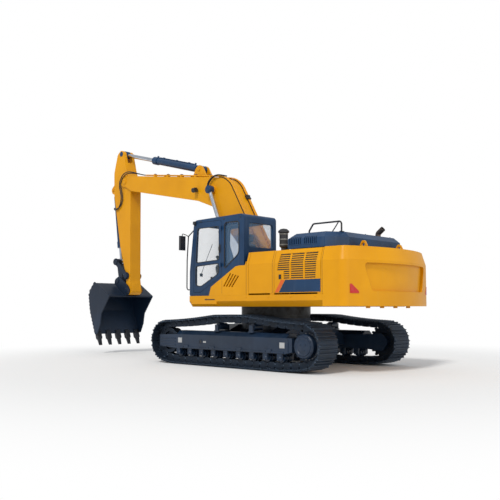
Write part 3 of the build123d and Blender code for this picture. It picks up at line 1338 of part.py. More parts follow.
def main():
    os.makedirs("parts", exist_ok=True)
    sides = (1, -1)
    write(centre_frame(), "centre_frame")
    write(side_frame(1) + drive_bracket(1), "track_frame_left")
    write(side_frame(-1) + drive_bracket(-1), "track_frame_right")
    write(track(HALF_GAUGE), "track_left")
    write(track(-HALF_GAUGE), "track_right")
    write([sprocket(side) for side in sides], "sprockets")
    write([final_drive(side) for side in sides], "final_drives")
    write([idler(side) for side in sides], "idlers")
    write(bottom_rollers(1) + bottom_rollers(-1), "bottom_rollers")
    write(carrier_rollers(1) + carrier_rollers(-1), "carrier_rollers")
    write(lower_ring(), "slew_ring_lower")
    write(ring(RING_UP_OUT, RING_UP_IN, RING_UP_LOW_Z, DECK_LOW_Z - SEAT_GAP), "slew_ring_upper")
    write(upper_frame(), "upper_frame")
    write(belly_pans(), "belly_pans")
    write(left_front_panel(), "left_front_panel")
    write(left_bay(), "left_bay_frame")
    write(service_door(-1222, -560), "left_service_door")
    write(grille_door(), "grille_door")
    write(right_body(), "tool_box_and_step")
    write(fuel_tank(), "fuel_tank")
    write(oil_tank(), "oil_tank")
    write(right_bay(), "right_bay_frame")
    write(pump_door(), "pump_door")
    write(hood(), "engine_hood")
    write(counterweight(), "counterweight")
    write([lifting_eye(EYE_Y), lifting_eye(-EYE_Y)], "lifting_eyes")
    write(cab_shell(), "cab_shell")
    write(cab_door(), "cab_door")
    write(door_glass(), "cab_door_glass")
    write(cab_glass(), "cab_glass")
    write(seat(), "operator_seat")
    write(cab_controls(), "cab_controls")
    write(engine(), "engine_block")
    write(cooler(), "cooler_pack")
    write(pre_cleaner(), "pre_cleaner")
    write(exhaust(), "exhaust_pipe")
    write(hood_rail(), "hood_rail")
    write(mirror_left(), "left_mirror_and_rail")
    write(deck_rail(), "deck_rail")
    write(boom_body(), "boom")
    write(boom_lines(), "boom_lines")
    write(work_lamp(2411, 4160, BOOM_HALF + SEAT_GAP), "boom_lamp")
    lift = (LIFT_BARREL_R, LIFT_HEAD_R, LIFT_BARREL_L, LIFT_EYE_R, LIFT_EYE_HALF, LIFT_ROD_R, BASE_PIN_R)
    write([barrel_with_bore(BASE, ROD_PIN, y, *lift) for y in (LIFT_Y, -LIFT_Y)], "boom_cylinder_barrels")
    rod = (LIFT_ROD_R, LIFT_BARREL_L, LIFT_EYE_R, LIFT_EYE_HALF, LIFT_STUB)
    write([cylinder_rod(BASE, ROD_PIN, y, *rod) for y in (LIFT_Y, -LIFT_Y)], "boom_cylinder_rods")
    crowd = (CROWD_BARREL_R, CROWD_HEAD_R, CROWD_BARREL_L, CROWD_EYE_R, CROWD_EYE_HALF, CROWD_ROD_R)
    crowd = crowd + (CROWD_PIN_R,)
    write(barrel_with_bore(CROWD_BASE, HORN, 0, *crowd), "arm_cylinder_barrel")
    rod = (CROWD_ROD_R, CROWD_BARREL_L, CROWD_EYE_R, CROWD_EYE_HALF, CROWD_STUB)
    write(cylinder_rod(CROWD_BASE, HORN, 0, *rod), "arm_cylinder_rod")
    write(arm_body(), "arm")
    curl = (CURL_BARREL_R, CURL_HEAD_R, CURL_BARREL_L, CURL_EYE_R, CURL_EYE_HALF, CURL_ROD_R)
    curl = curl + (CURL_PIN_R,)
    write(barrel_with_bore(CURL_BASE, LINK_TOP, 0, *curl), "bucket_cylinder_barrel")
    rod = (CURL_ROD_R, CURL_BARREL_L, CURL_EYE_R, CURL_EYE_HALF, CURL_STUB)
    write(cylinder_rod(CURL_BASE, LINK_TOP, 0, *rod), "bucket_cylinder_rod")
    write(rocker(), "rocker_plates")
    write(bucket_link(), "bucket_link")
    write(bucket_shell(), "bucket")
    write(bucket_teeth(), "bucket_teeth")


main()
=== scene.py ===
"""Looks of a crawler excavator: finishes, fine pieces, floor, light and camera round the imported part.

Lengths are in metres in the row frame: +X forwards, +Y left, +Z up, origin on the ground on the slewing axis.
"""

import json
import logging
import math
from dataclasses import dataclass, field
from enum import Enum
from typing import Callable, Iterable, Sequence

import bmesh
import bpy
from mathutils import Matrix, Vector

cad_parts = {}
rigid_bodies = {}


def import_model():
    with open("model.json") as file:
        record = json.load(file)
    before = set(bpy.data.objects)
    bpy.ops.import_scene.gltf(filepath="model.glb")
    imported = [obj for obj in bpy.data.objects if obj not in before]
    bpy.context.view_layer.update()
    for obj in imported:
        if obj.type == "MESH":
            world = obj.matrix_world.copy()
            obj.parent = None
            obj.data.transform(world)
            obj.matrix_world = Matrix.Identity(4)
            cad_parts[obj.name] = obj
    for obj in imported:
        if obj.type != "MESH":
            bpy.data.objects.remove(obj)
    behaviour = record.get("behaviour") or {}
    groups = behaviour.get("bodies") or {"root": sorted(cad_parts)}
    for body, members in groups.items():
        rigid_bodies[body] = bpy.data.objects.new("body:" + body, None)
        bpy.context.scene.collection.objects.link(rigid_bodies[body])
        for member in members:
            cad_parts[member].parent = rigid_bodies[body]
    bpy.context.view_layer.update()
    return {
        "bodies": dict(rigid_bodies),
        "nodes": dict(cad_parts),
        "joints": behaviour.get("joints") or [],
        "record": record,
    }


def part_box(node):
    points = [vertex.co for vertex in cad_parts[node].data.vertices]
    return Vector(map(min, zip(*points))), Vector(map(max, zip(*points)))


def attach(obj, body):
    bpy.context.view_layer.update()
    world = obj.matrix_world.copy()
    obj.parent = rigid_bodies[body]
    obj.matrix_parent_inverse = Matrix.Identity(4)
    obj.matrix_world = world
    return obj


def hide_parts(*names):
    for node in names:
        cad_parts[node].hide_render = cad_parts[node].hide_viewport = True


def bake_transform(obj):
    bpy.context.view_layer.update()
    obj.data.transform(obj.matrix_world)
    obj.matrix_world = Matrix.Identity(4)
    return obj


LOG = logging.getLogger("excavator")
Place = tuple[float, float]
Point = tuple[float, float, float]
Colour = tuple[float, float, float]
Spot = Callable[[float, float], Place]
Setting = str | int | float | bool
Input = "Wire | float | Point"
MIX_FACTOR, MIX_FIRST, MIX_SECOND, MIX_RESULT = 0, 6, 7, 2
SHARP_ANGLE = 0.5
WELD = 1e-5
WASHER_HEIGHT, WASHER_RADIUS, HEAD_HEIGHT, HEAD_BEVEL = 0.22, 1.45, 0.95, 0.12
PAD_CUTS, PAD_ROUNDING, PAD_CROWN, PAD_WAIST = 23, 5, 0.16, 0.035
GROOVE_WIDTH, GROOVE_DEPTH = 0.05, 0.10
GAUGE = 2.59
TUMBLER_X, TUMBLER_Z = 2.02, 0.508
WHITE = (1.0, 1.0, 1.0)


def srgb(red: int, green: int, blue: int) -> Colour:
    """Turns an 8-bit display colour into the linear values that shaders use.

    Args:
        red, green, blue: the display values, 0 to 255.

    Returns:
        The linear colour.
    """
    def linear(value: int) -> float:
        """One channel's linear value."""
        share = value / 255
        return share / 12.92 if share <= 0.04045 else ((share + 0.055) / 1.055) ** 2.4

    return linear(red), linear(green), linear(blue)


class Slot(Enum):
    """The record's material slots."""

    YELLOW = "yellow_paint"
    DARK = "dark_paint"
    FRAME = "frame_paint"
    BUCKET = "bucket_paint"
    RAIL = "rail_paint"
    TRACK = "track_steel"
    TOOTH = "tooth_steel"
    ENGINE = "engine_iron"
    BEARING = "bearing_steel"
    COOLER = "cooler_metal"
    EXHAUST = "exhaust_steel"
    CHROME = "chrome_rod"
    GLASS = "window_glass"
    SEAT = "seat_fabric"
    PLASTIC = "trim_plastic"


class Extra(Enum):
    """The finishes that only this scene has."""

    LINE = "yellow_line"
    DOOR_GLASS = "door_glass"
    ZINC = "zinc_steel"
    HOSE = "hose_rubber"
    ORANGE = "accent_orange"
    MARK = "pale_mark"
    LENS = "clear_lens"
    RED = "red_lens"


class Body(Enum):
    """The bodies that new pieces ride on."""

    UNDER = "undercarriage"
    UPPER = "upper"
    GRILLE = "grille_door"
    PUMP = "pump_door"
    HOOD = "engine_hood"
    CAB_DOOR = "cab_door"
    BOOM = "boom"
    RODS = "boom_cylinder_rods"
    CROWD_BARREL = "arm_cylinder_barrel"
    CROWD_ROD = "arm_cylinder_rod"
    ARM = "arm"
    BUCKET = "bucket"


class Axis(Enum):
    """The frame's axes."""

    X = "X"
    Y = "Y"
    Z = "Z"


class Wire:
    """One output of a shader node, with arithmetic."""

    def __init__(self, graph: "Graph", socket: bpy.types.NodeSocket) -> None:
        """Keeps the graph and the output."""
        self.graph = graph
        self.socket = socket

    def _math(self, kind: str, other: "Wire | float", flip: bool = False) -> "Wire":
        """Makes a Math node; flip puts the other value first."""
        first, second = (other, self) if flip else (self, other)
        return self.graph.node("ShaderNodeMath", {0: first, 1: second}, operation=kind)

    def __add__(self, other: "Wire | float") -> "Wire":
        """This plus the other."""
        return self._math("ADD", other)

    def __radd__(self, other: float) -> "Wire":
        """A number plus this."""
        return self._math("ADD", other, True)

    def __sub__(self, other: "Wire | float") -> "Wire":
        """This less the other."""
        return self._math("SUBTRACT", other)

    def __rsub__(self, other: float) -> "Wire":
        """A number less this."""
        return self._math("SUBTRACT", other, True)

    def __mul__(self, other: "Wire | float") -> "Wire":
        """This times the other."""
        return self._math("MULTIPLY", other)

    def __rmul__(self, other: float) -> "Wire":
        """A number times this."""
        return self._math("MULTIPLY", other, True)

    def over(self, low: float, high: float) -> "Wire":
        """Maps the value smoothly to 0 to 1.

        Args:
            low: the value that gives 0, as all below it do.
            high: the value that gives 1, as all above it do.

        Returns:
            The mapped value.
        """
        return self.graph.node(
            "ShaderNodeMapRange", {0: self, 1: low, 2: high}, interpolation_type="SMOOTHSTEP", clamp=True
        )


class Graph:
    """A material's node tree, built from plain calls."""

    def __init__(self, name: str) -> None:
        """Starts an empty tree.

        Args:
            name: the material's name.
        """
        self.material = bpy.data.materials.new(name)
        self.material.use_nodes = True
        self.tree = self.material.node_tree
        self.tree.nodes.clear()
        self.output = self.tree.nodes.new("ShaderNodeOutputMaterial")

    def node(
        self, kind: str, inputs: dict[int | str, Input] | None = None, out: int | str = 0, **settings: Setting
    ) -> Wire:
        """Makes one node.

        Args:
            kind: the node's class name.
            inputs: socket index or name, to a Wire or a constant.
            out: the output that is returned.
            **settings: attributes set on the node, before its inputs.

        Returns:
            The chosen output as a Wire.
        """
        made = self.tree.nodes.new(kind)
        for key, value in settings.items():
            setattr(made, key, value)
        for key, value in (inputs or {}).items():
            socket = made.inputs[key]
            if isinstance(value, Wire):
                self.tree.links.new(value.socket, socket)
            elif isinstance(value, tuple) and socket.type == "RGBA":
                socket.default_value = (*value, 1.0)
            else:
                socket.default_value = value
        return Wire(self, made.outputs[out])

    def place(self) -> Wire:
        """Object coordinates, which are the row frame in metres."""
        return self.node("ShaderNodeTexCoord", out="Object")

    def stretched(self, scale: Point) -> Wire:
        """Object coordinates scaled along X, Y and Z."""
        return self.node("ShaderNodeMapping", {"Vector": self.place(), "Scale": scale})

    def wave(self, scale: float, bands: Axis = Axis.X) -> Wire:
        """Straight waves from 0 to 1 that follow each other along an axis."""
        inputs = {"Vector": self.place(), "Scale": scale}
        return self.node("ShaderNodeTexWave", inputs, out="Fac", bands_direction=bands.value)

    def noise(
        self, scale: float, detail: float = 3.0, rough: float = 0.55, where: Wire | None = None
    ) -> Wire:
        """Fractal noise from 0 to 1."""
        inputs = {"Vector": where or self.place(), "Scale": scale, "Detail": detail, "Roughness": rough}
        return self.node("ShaderNodeTexNoise", inputs, out="Fac")

    def axis(self, index: int, source: Wire | None = None) -> Wire:
        """One part of a vector, the row frame's place by default."""
        return self.node("ShaderNodeSeparateXYZ", {0: source or self.place()}, out=index)

    def upward(self) -> Wire:
        """How far a surface faces up, from -1 to 1."""
        return self.axis(2, self.node("ShaderNodeNewGeometry", out="Normal"))

    def rounded(self, radius: float) -> Wire:
        """The surface normal with its edges rounded off."""
        return self.node("ShaderNodeBevel", {"Radius": radius}, samples=4)

    def edges(self, radius: float) -> Wire:
        """A mask of the edges.

        Args:
            radius: how far from an edge it reaches.

        Returns:
            1 on a sharp edge and 0 on a flat.
        """
        flat = self.node("ShaderNodeNewGeometry", out="Normal")
        round_ = self.rounded(radius)
        dot = self.node("ShaderNodeVectorMath", {0: flat, 1: round_}, out="Value", operation="DOT_PRODUCT")
        return (1.0 - dot).over(0.01, 0.2)

    def blend(self, share: Wire | float, low: Wire | Colour, high: Wire | Colour) -> Wire:
        """Mixes two colours.

        Args:
            share: how much of the second colour.
            low: the first colour.
            high: the second colour.

        Returns:
            The mixed colour.
        """
        return self.node(
            "ShaderNodeMix", {MIX_FACTOR: share, MIX_FIRST: low, MIX_SECOND: high}, out=MIX_RESULT,
            data_type="RGBA",
        )

    def bump(self, height: Wire, strength: float, distance: float, base: Wire | None = None) -> Wire:
        """Turns a height into a normal.

        Args:
            height: the height, 0 to 1.
            strength: how much of it counts.
            distance: what a height of 1 stands for, in metres.
            base: the normal it is laid over, where that isn't the surface's own.

        Returns:
            The normal.
        """
        inputs = {"Height": height, "Strength": strength, "Distance": distance}
        if base is not None:
            inputs["Normal"] = base
        return self.node("ShaderNodeBump", inputs)

    def surface(self, **inputs: Input) -> bpy.types.Material:
        """Closes the tree with one principled shader.

        Args:
            **inputs: socket names with underscores for spaces, to a Wire or a constant.

        Returns:
            The finished material.
        """
        named = {key.replace("_", " "): value for key, value in inputs.items()}
        shader = self.node("ShaderNodeBsdfPrincipled", named)
        self.tree.links.new(shader.socket, self.output.inputs["Surface"])
        return self.material


@dataclass(frozen=True)
class Enamel:
    """Sprayed machine enamel with dust, streaks and worn edges."""

    name: str
    paint: Colour
    tone: Colour
    dust: Colour
    worn: Colour
    dust_share: float = 0.25
    wear_share: float = 0.5
    low_dirt: float = 0.25
    rough: float = 0.42
    coat: float = 0.15
    gloss: float = 0.4
    corner: float = 0.006

    def build(self) -> bpy.types.Material:
        """Makes the material.

        Returns:
            The finished material.
        """
        g = Graph(self.name)
        broad = g.noise(0.8, 3.0)
        fine = g.noise(9.0, 5.0, 0.6)
        streak = g.noise(5.0, 4.0, 0.6, g.stretched((3.0, 3.0, 0.35)))
        colour = g.blend(broad.over(0.35, 0.68), self.paint, self.tone)
        colour = g.blend(streak.over(0.5, 0.8) * 0.12, colour, self.dust)
        up = g.upward().over(0.25, 0.95)
        settled = up * fine.over(0.35, 0.7) * self.dust_share
        low = (1.0 - g.axis(2).over(0.2, 1.6)) * fine.over(0.3, 0.75) * self.low_dirt
        dirt = settled + low
        colour = g.blend(dirt, colour, self.dust)
        edge = g.edges(self.corner) * g.noise(28.0, 3.0, 0.65).over(0.5, 0.66) * self.wear_share
        colour = g.blend(edge, colour, self.worn)
        grain = g.noise(260.0, 2.0)
        rough = self.rough + dirt * 0.35 + edge * 0.2 + (fine - 0.5) * 0.1
        normal = g.bump(grain, 0.05, 0.001, g.rounded(self.corner))
        return g.surface(
            Base_Color=colour, Roughness=rough, Normal=normal, Coat_Weight=self.coat, Coat_Roughness=0.25,
            Specular_IOR_Level=self.gloss,
        )


@dataclass(frozen=True)
class Steel:
    """Bare or dark metal with stains, scratches and polished edges; on the track the edge colour is also a
    painted highlight.
    """

    name: str
    base: Colour
    stain: Colour
    polish_and_highlight: Colour
    metal: float = 0.8
    rough: float = 0.45
    polish_and_highlight_share: float = 0.7
    relief: float = 0.25

    def build(self) -> bpy.types.Material:
        """Makes the material.

        Returns:
            The finished material.
        """
        g = Graph(self.name)
        patch = g.noise(6.0, 5.0, 0.65)
        grain = g.noise(60.0, 4.0, 0.6)
        colour = g.blend(patch.over(0.4, 0.7), self.base, self.stain)
        edge = g.edges(0.005) * self.polish_and_highlight_share
        # Edges blend to the polish colour. This is real polish, and on the track steel it is also a painted
        # highlight that makes the lugs read light.
        colour = g.blend(edge * grain.over(0.25, 0.6), colour, self.polish_and_highlight)
        rough = self.rough + (patch - 0.5) * 0.25 - edge * 0.15
        normal = g.bump(grain, self.relief, 0.002, g.rounded(0.004))
        return g.surface(Base_Color=colour, Metallic=self.metal, Roughness=rough, Normal=normal)


@dataclass(frozen=True)
class Chrome:
    """Ground hard chrome with a thin oil film."""

    name: str

    def build(self) -> bpy.types.Material:
        """Makes the material.

        Returns:
            The finished material.
        """
        g = Graph(self.name)
        ground = g.noise(380.0, 2.0)
        film = g.noise(7.0, 4.0)
        colour = g.blend(film.over(0.4, 0.75), (0.56, 0.60, 0.66), (0.46, 0.48, 0.52))
        rough = 0.09 + film * 0.1
        normal = g.bump(ground, 0.04, 0.0004)
        return g.surface(Base_Color=colour, Metallic=1.0, Roughness=rough, Normal=normal)


@dataclass(frozen=True)
class Glass:
    """Flat tinted cab glass: nearly clear from in front, glossier at a slant."""

    name: str
    tint: Colour
    clear: float = 0.10
    slanted: float = 0.55

    def build(self) -> bpy.types.Material:
        """Makes the material.

        Returns:
            The finished material.
        """
        g = Graph(self.name)
        slant = g.node("ShaderNodeFresnel", {"IOR": 1.45})
        film = g.noise(2.2, 4.0).over(0.45, 0.8) * 0.03
        alpha = self.clear + slant * self.slanted + film
        rough = 0.02 + g.noise(5.0, 3.0) * 0.04
        return g.surface(
            Base_Color=self.tint, Roughness=rough, Alpha=alpha, Specular_IOR_Level=0.8, Coat_Weight=0.6
        )


@dataclass(frozen=True)
class Moulded:
    """Rubber or moulded plastic with a fine grain."""

    name: str
    base: Colour
    tone: Colour
    rough: float = 0.6
    relief: float = 0.2
    coat: float = 0.0

    def build(self) -> bpy.types.Material:
        """Makes the material.

        Returns:
            The finished material.
        """
        g = Graph(self.name)
        broad = g.noise(4.0, 4.0)
        grain = g.noise(320.0, 2.0)
        dust = g.upward().over(0.3, 1.0) * g.noise(14.0, 4.0).over(0.4, 0.75) * 0.2
        colour = g.blend(broad.over(0.35, 0.7), self.base, self.tone)
        colour = g.blend(dust, colour, srgb(120, 112, 100))
        rough = self.rough + (broad - 0.5) * 0.15
        normal = g.bump(grain, self.relief, 0.001, g.rounded(0.003))
        return g.surface(Base_Color=colour, Roughness=rough, Normal=normal, Coat_Weight=self.coat)


@dataclass(frozen=True)
class Cloth:
    """Woven seat cover."""

    name: str
    base: Colour
    thread: Colour

    def build(self) -> bpy.types.Material:
        """Makes the material.

        Returns:
            The finished material.
        """
        g = Graph(self.name)
        weave = g.wave(130.0, Axis.Y) * 0.5 + g.wave(130.0, Axis.Z) * 0.5
        worn = g.noise(6.0, 4.0).over(0.45, 0.75) * 0.3
        colour = g.blend(weave * 0.6 + worn, self.base, self.thread)
        normal = g.bump(weave, 0.35, 0.001)
        rough = 0.82 + worn * 0.2
        return g.surface(Base_Color=colour, Roughness=rough, Normal=normal, Sheen_Weight=0.3)


@dataclass(frozen=True)
class Fins:
    """A cooler's finned face."""

    name: str

    def build(self) -> bpy.types.Material:
        """Makes the material.

        Returns:
            The finished material.
        """
        g = Graph(self.name)
        height = g.wave(60.0) * 0.6 + g.wave(16.0, Axis.Z) * 0.4
        colour = g.blend(height, srgb(26, 27, 29), srgb(88, 90, 92))
        rough = 0.45 + g.noise(12.0) * 0.2
        normal = g.bump(height, 0.5, 0.003)
        return g.surface(Base_Color=colour, Metallic=0.6, Roughness=rough, Normal=normal)


@dataclass(frozen=True)
class Lens:
    """A lamp's lens or a reflector, with moulded flutes."""

    name: str
    base: Colour
    flute: float = 90.0

    def build(self) -> bpy.types.Material:
        """Makes the material.

        Returns:
            The finished material.
        """
        g = Graph(self.name)
        wave = g.wave(self.flute)
        speck = g.noise(40.0, 3.0)
        darker = tuple(part * 0.6 for part in self.base)
        colour = g.blend(wave * 0.5 + speck * 0.3, self.base, darker)
        normal = g.bump(wave, 0.4, 0.002)
        return g.surface(Base_Color=colour, Roughness=0.16 + speck * 0.1, Normal=normal, Coat_Weight=0.2)


DUST = srgb(150, 138, 118)
Finish = Enamel | Steel | Chrome | Glass | Moulded | Cloth | Fins | Lens
FINISHES: dict[str, Finish] = {
    Slot.YELLOW.value: Enamel(
        "yellow_enamel", srgb(213, 147, 0), srgb(203, 138, 0), srgb(196, 150, 62), srgb(120, 92, 50),
        dust_share=0.06, wear_share=0.25, low_dirt=0.12, coat=0.06, gloss=0.22,
    ),
    Extra.LINE.value: Enamel(
        "yellow_line", srgb(214, 146, 4), srgb(200, 134, 2), srgb(180, 140, 70), srgb(120, 92, 50),
        dust_share=0.1, wear_share=0.0, low_dirt=0.1, coat=0.0, gloss=0.2, corner=0.001,
    ),
    Slot.DARK.value: Enamel(
        "dark_blue_enamel", srgb(20, 56, 92), srgb(16, 46, 77), srgb(104, 116, 128), srgb(98, 110, 122),
        dust_share=0.05, wear_share=0.25, coat=0.12, gloss=0.3,
    ),
    Slot.FRAME.value: Enamel(
        "slate_enamel", srgb(14, 37, 62), srgb(11, 29, 49), srgb(58, 74, 92), srgb(84, 96, 108),
        dust_share=0.14, wear_share=0.4, low_dirt=0.14, rough=0.42, coat=0.25, gloss=0.35,
    ),
    Slot.BUCKET.value: Enamel(
        "bucket_enamel", srgb(13, 34, 57), srgb(10, 26, 44), srgb(56, 70, 86), srgb(98, 108, 120),
        dust_share=0.12, wear_share=0.6, low_dirt=0.12, rough=0.48, coat=0.1, gloss=0.3,
    ),
    Slot.RAIL.value: Enamel(
        "black_enamel", srgb(28, 32, 40), srgb(22, 25, 32), DUST, srgb(100, 100, 100),
        dust_share=0.1, wear_share=0.0, corner=0.002,
    ),
    # Track steel: the pale blue edge colour and its high share are partly real polish and partly a painted
    # highlight on the lugs.
    Slot.TRACK.value: Steel(
        "track_steel", srgb(33, 46, 62), srgb(37, 43, 52), srgb(116, 138, 162), metal=0.55, rough=0.5,
        relief=0.4, polish_and_highlight_share=0.9,
    ),
    Slot.TOOTH.value: Steel(
        "tooth_steel", srgb(48, 51, 58), srgb(38, 39, 44), srgb(140, 140, 142), metal=0.7, rough=0.42,
    ),
    Slot.ENGINE.value: Steel(
        "engine_iron", srgb(74, 78, 80), srgb(52, 50, 46), srgb(120, 120, 118), metal=0.4, rough=0.6,
    ),
    Slot.BEARING.value: Steel(
        "bearing_steel", srgb(58, 58, 58), srgb(36, 32, 26), srgb(130, 128, 124), metal=0.7, rough=0.4,
    ),
    Slot.COOLER.value: Fins("cooler_fins"),
    Slot.EXHAUST.value: Steel(
        "exhaust_steel", srgb(84, 80, 78), srgb(96, 70, 52), srgb(150, 146, 140), metal=0.8, rough=0.4,
    ),
    Extra.ZINC.value: Steel(
        "zinc_steel", srgb(142, 141, 136), srgb(112, 109, 102), srgb(190, 188, 182), metal=0.8, rough=0.35,
    ),
    Slot.CHROME.value: Chrome("hard_chrome"),
    Slot.GLASS.value: Glass("cab_glass_tint", srgb(104, 140, 176), clear=0.05, slanted=0.32),
    Extra.DOOR_GLASS.value: Glass("door_glass_tint", srgb(110, 134, 150), clear=0.0, slanted=0.12),
    Slot.SEAT.value: Cloth("seat_weave", srgb(34, 36, 42), srgb(74, 78, 86)),
    Slot.PLASTIC.value: Moulded("black_plastic", srgb(26, 27, 30), srgb(34, 35, 38), rough=0.5, coat=0.1),
    Extra.HOSE.value: Moulded("hose_rubber", srgb(22, 22, 23), srgb(31, 31, 32), rough=0.62, relief=0.35),
    Extra.ORANGE.value: Enamel(
        "accent_orange", srgb(214, 96, 26), srgb(202, 86, 20), DUST, srgb(120, 70, 40), dust_share=0.08,
    ),
    Extra.MARK.value: Enamel(
        "pale_mark", srgb(176, 178, 180), srgb(160, 162, 164), DUST, srgb(120, 118, 112), dust_share=0.1,
        corner=0.001,
    ),
    Extra.LENS.value: Lens("clear_lens", srgb(214, 218, 222)),
    Extra.RED.value: Lens("red_lens", srgb(196, 14, 6), 240.0),
}


class Workshop:
    """Makes materials once, and gives them to CAD nodes and new pieces."""

    def __init__(self, frame: dict) -> None:
        """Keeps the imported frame.
        """
        self.frame = frame
        self.made: dict[str, bpy.types.Material] = {}
        self.count = 0

    def finish(self, key: str) -> bpy.types.Material:
        """The material for a slot or a scene finish, built the first time it is asked for.

        Args:
            key: its key in FINISHES.

        Returns:
            The material.
        """
        if key not in self.made:
            self.made[key] = FINISHES[key].build()
        return self.made[key]

    def dress_nodes(self, changed: dict[str, str]) -> None:
        """Gives every CAD node its material.

        Args:
            changed: nodes whose finish differs from their slot's.
        """
        slots = {part["node"]: part["material_slot"] for part in self.frame["record"]["subparts"]}
        for name, node in self.frame["nodes"].items():
            material = self.finish(changed.get(name, slots[name]))
            node.data.materials.clear()
            node.data.materials.append(material)
        LOG.info("dressed %d CAD nodes", len(slots))

    def deliver(self, piece: "Piece", crossing: tuple[str, Point, Point] | None = None) -> bpy.types.Object:
        """Turns a piece's bmesh into an object that rides on its body; a piece that crosses a joint is kept
        where it is, on no body.

        Args:
            piece: the piece with its finished bmesh.
            crossing: for a piece that crosses a joint, the second body and where the turning starts and ends;
                only whether it is given is read, and the rest is not used.

        Returns:
            The new object.
        """
        mesh = bpy.data.meshes.new(piece.name)
        bmesh.ops.recalc_face_normals(piece.bm, faces=piece.bm.faces)
        piece.bm.to_mesh(mesh)
        piece.bm.free()
        made = bpy.data.objects.new(piece.name, mesh)
        bpy.context.scene.collection.objects.link(made)
        mesh.materials.append(self.finish(piece.finish))
        if piece.smooth:
            mesh.shade_smooth()
            mesh.set_sharp_from_angle(angle=math.radians(piece.smooth))
        if crossing:
            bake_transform(made)
        else:
            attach(made, piece.body)
        if piece.replaces:
            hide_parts(*piece.replaces)
        self.count += 1
        LOG.info("piece %s on %s: %d faces", piece.name, piece.body, len(mesh.polygons))
        return made


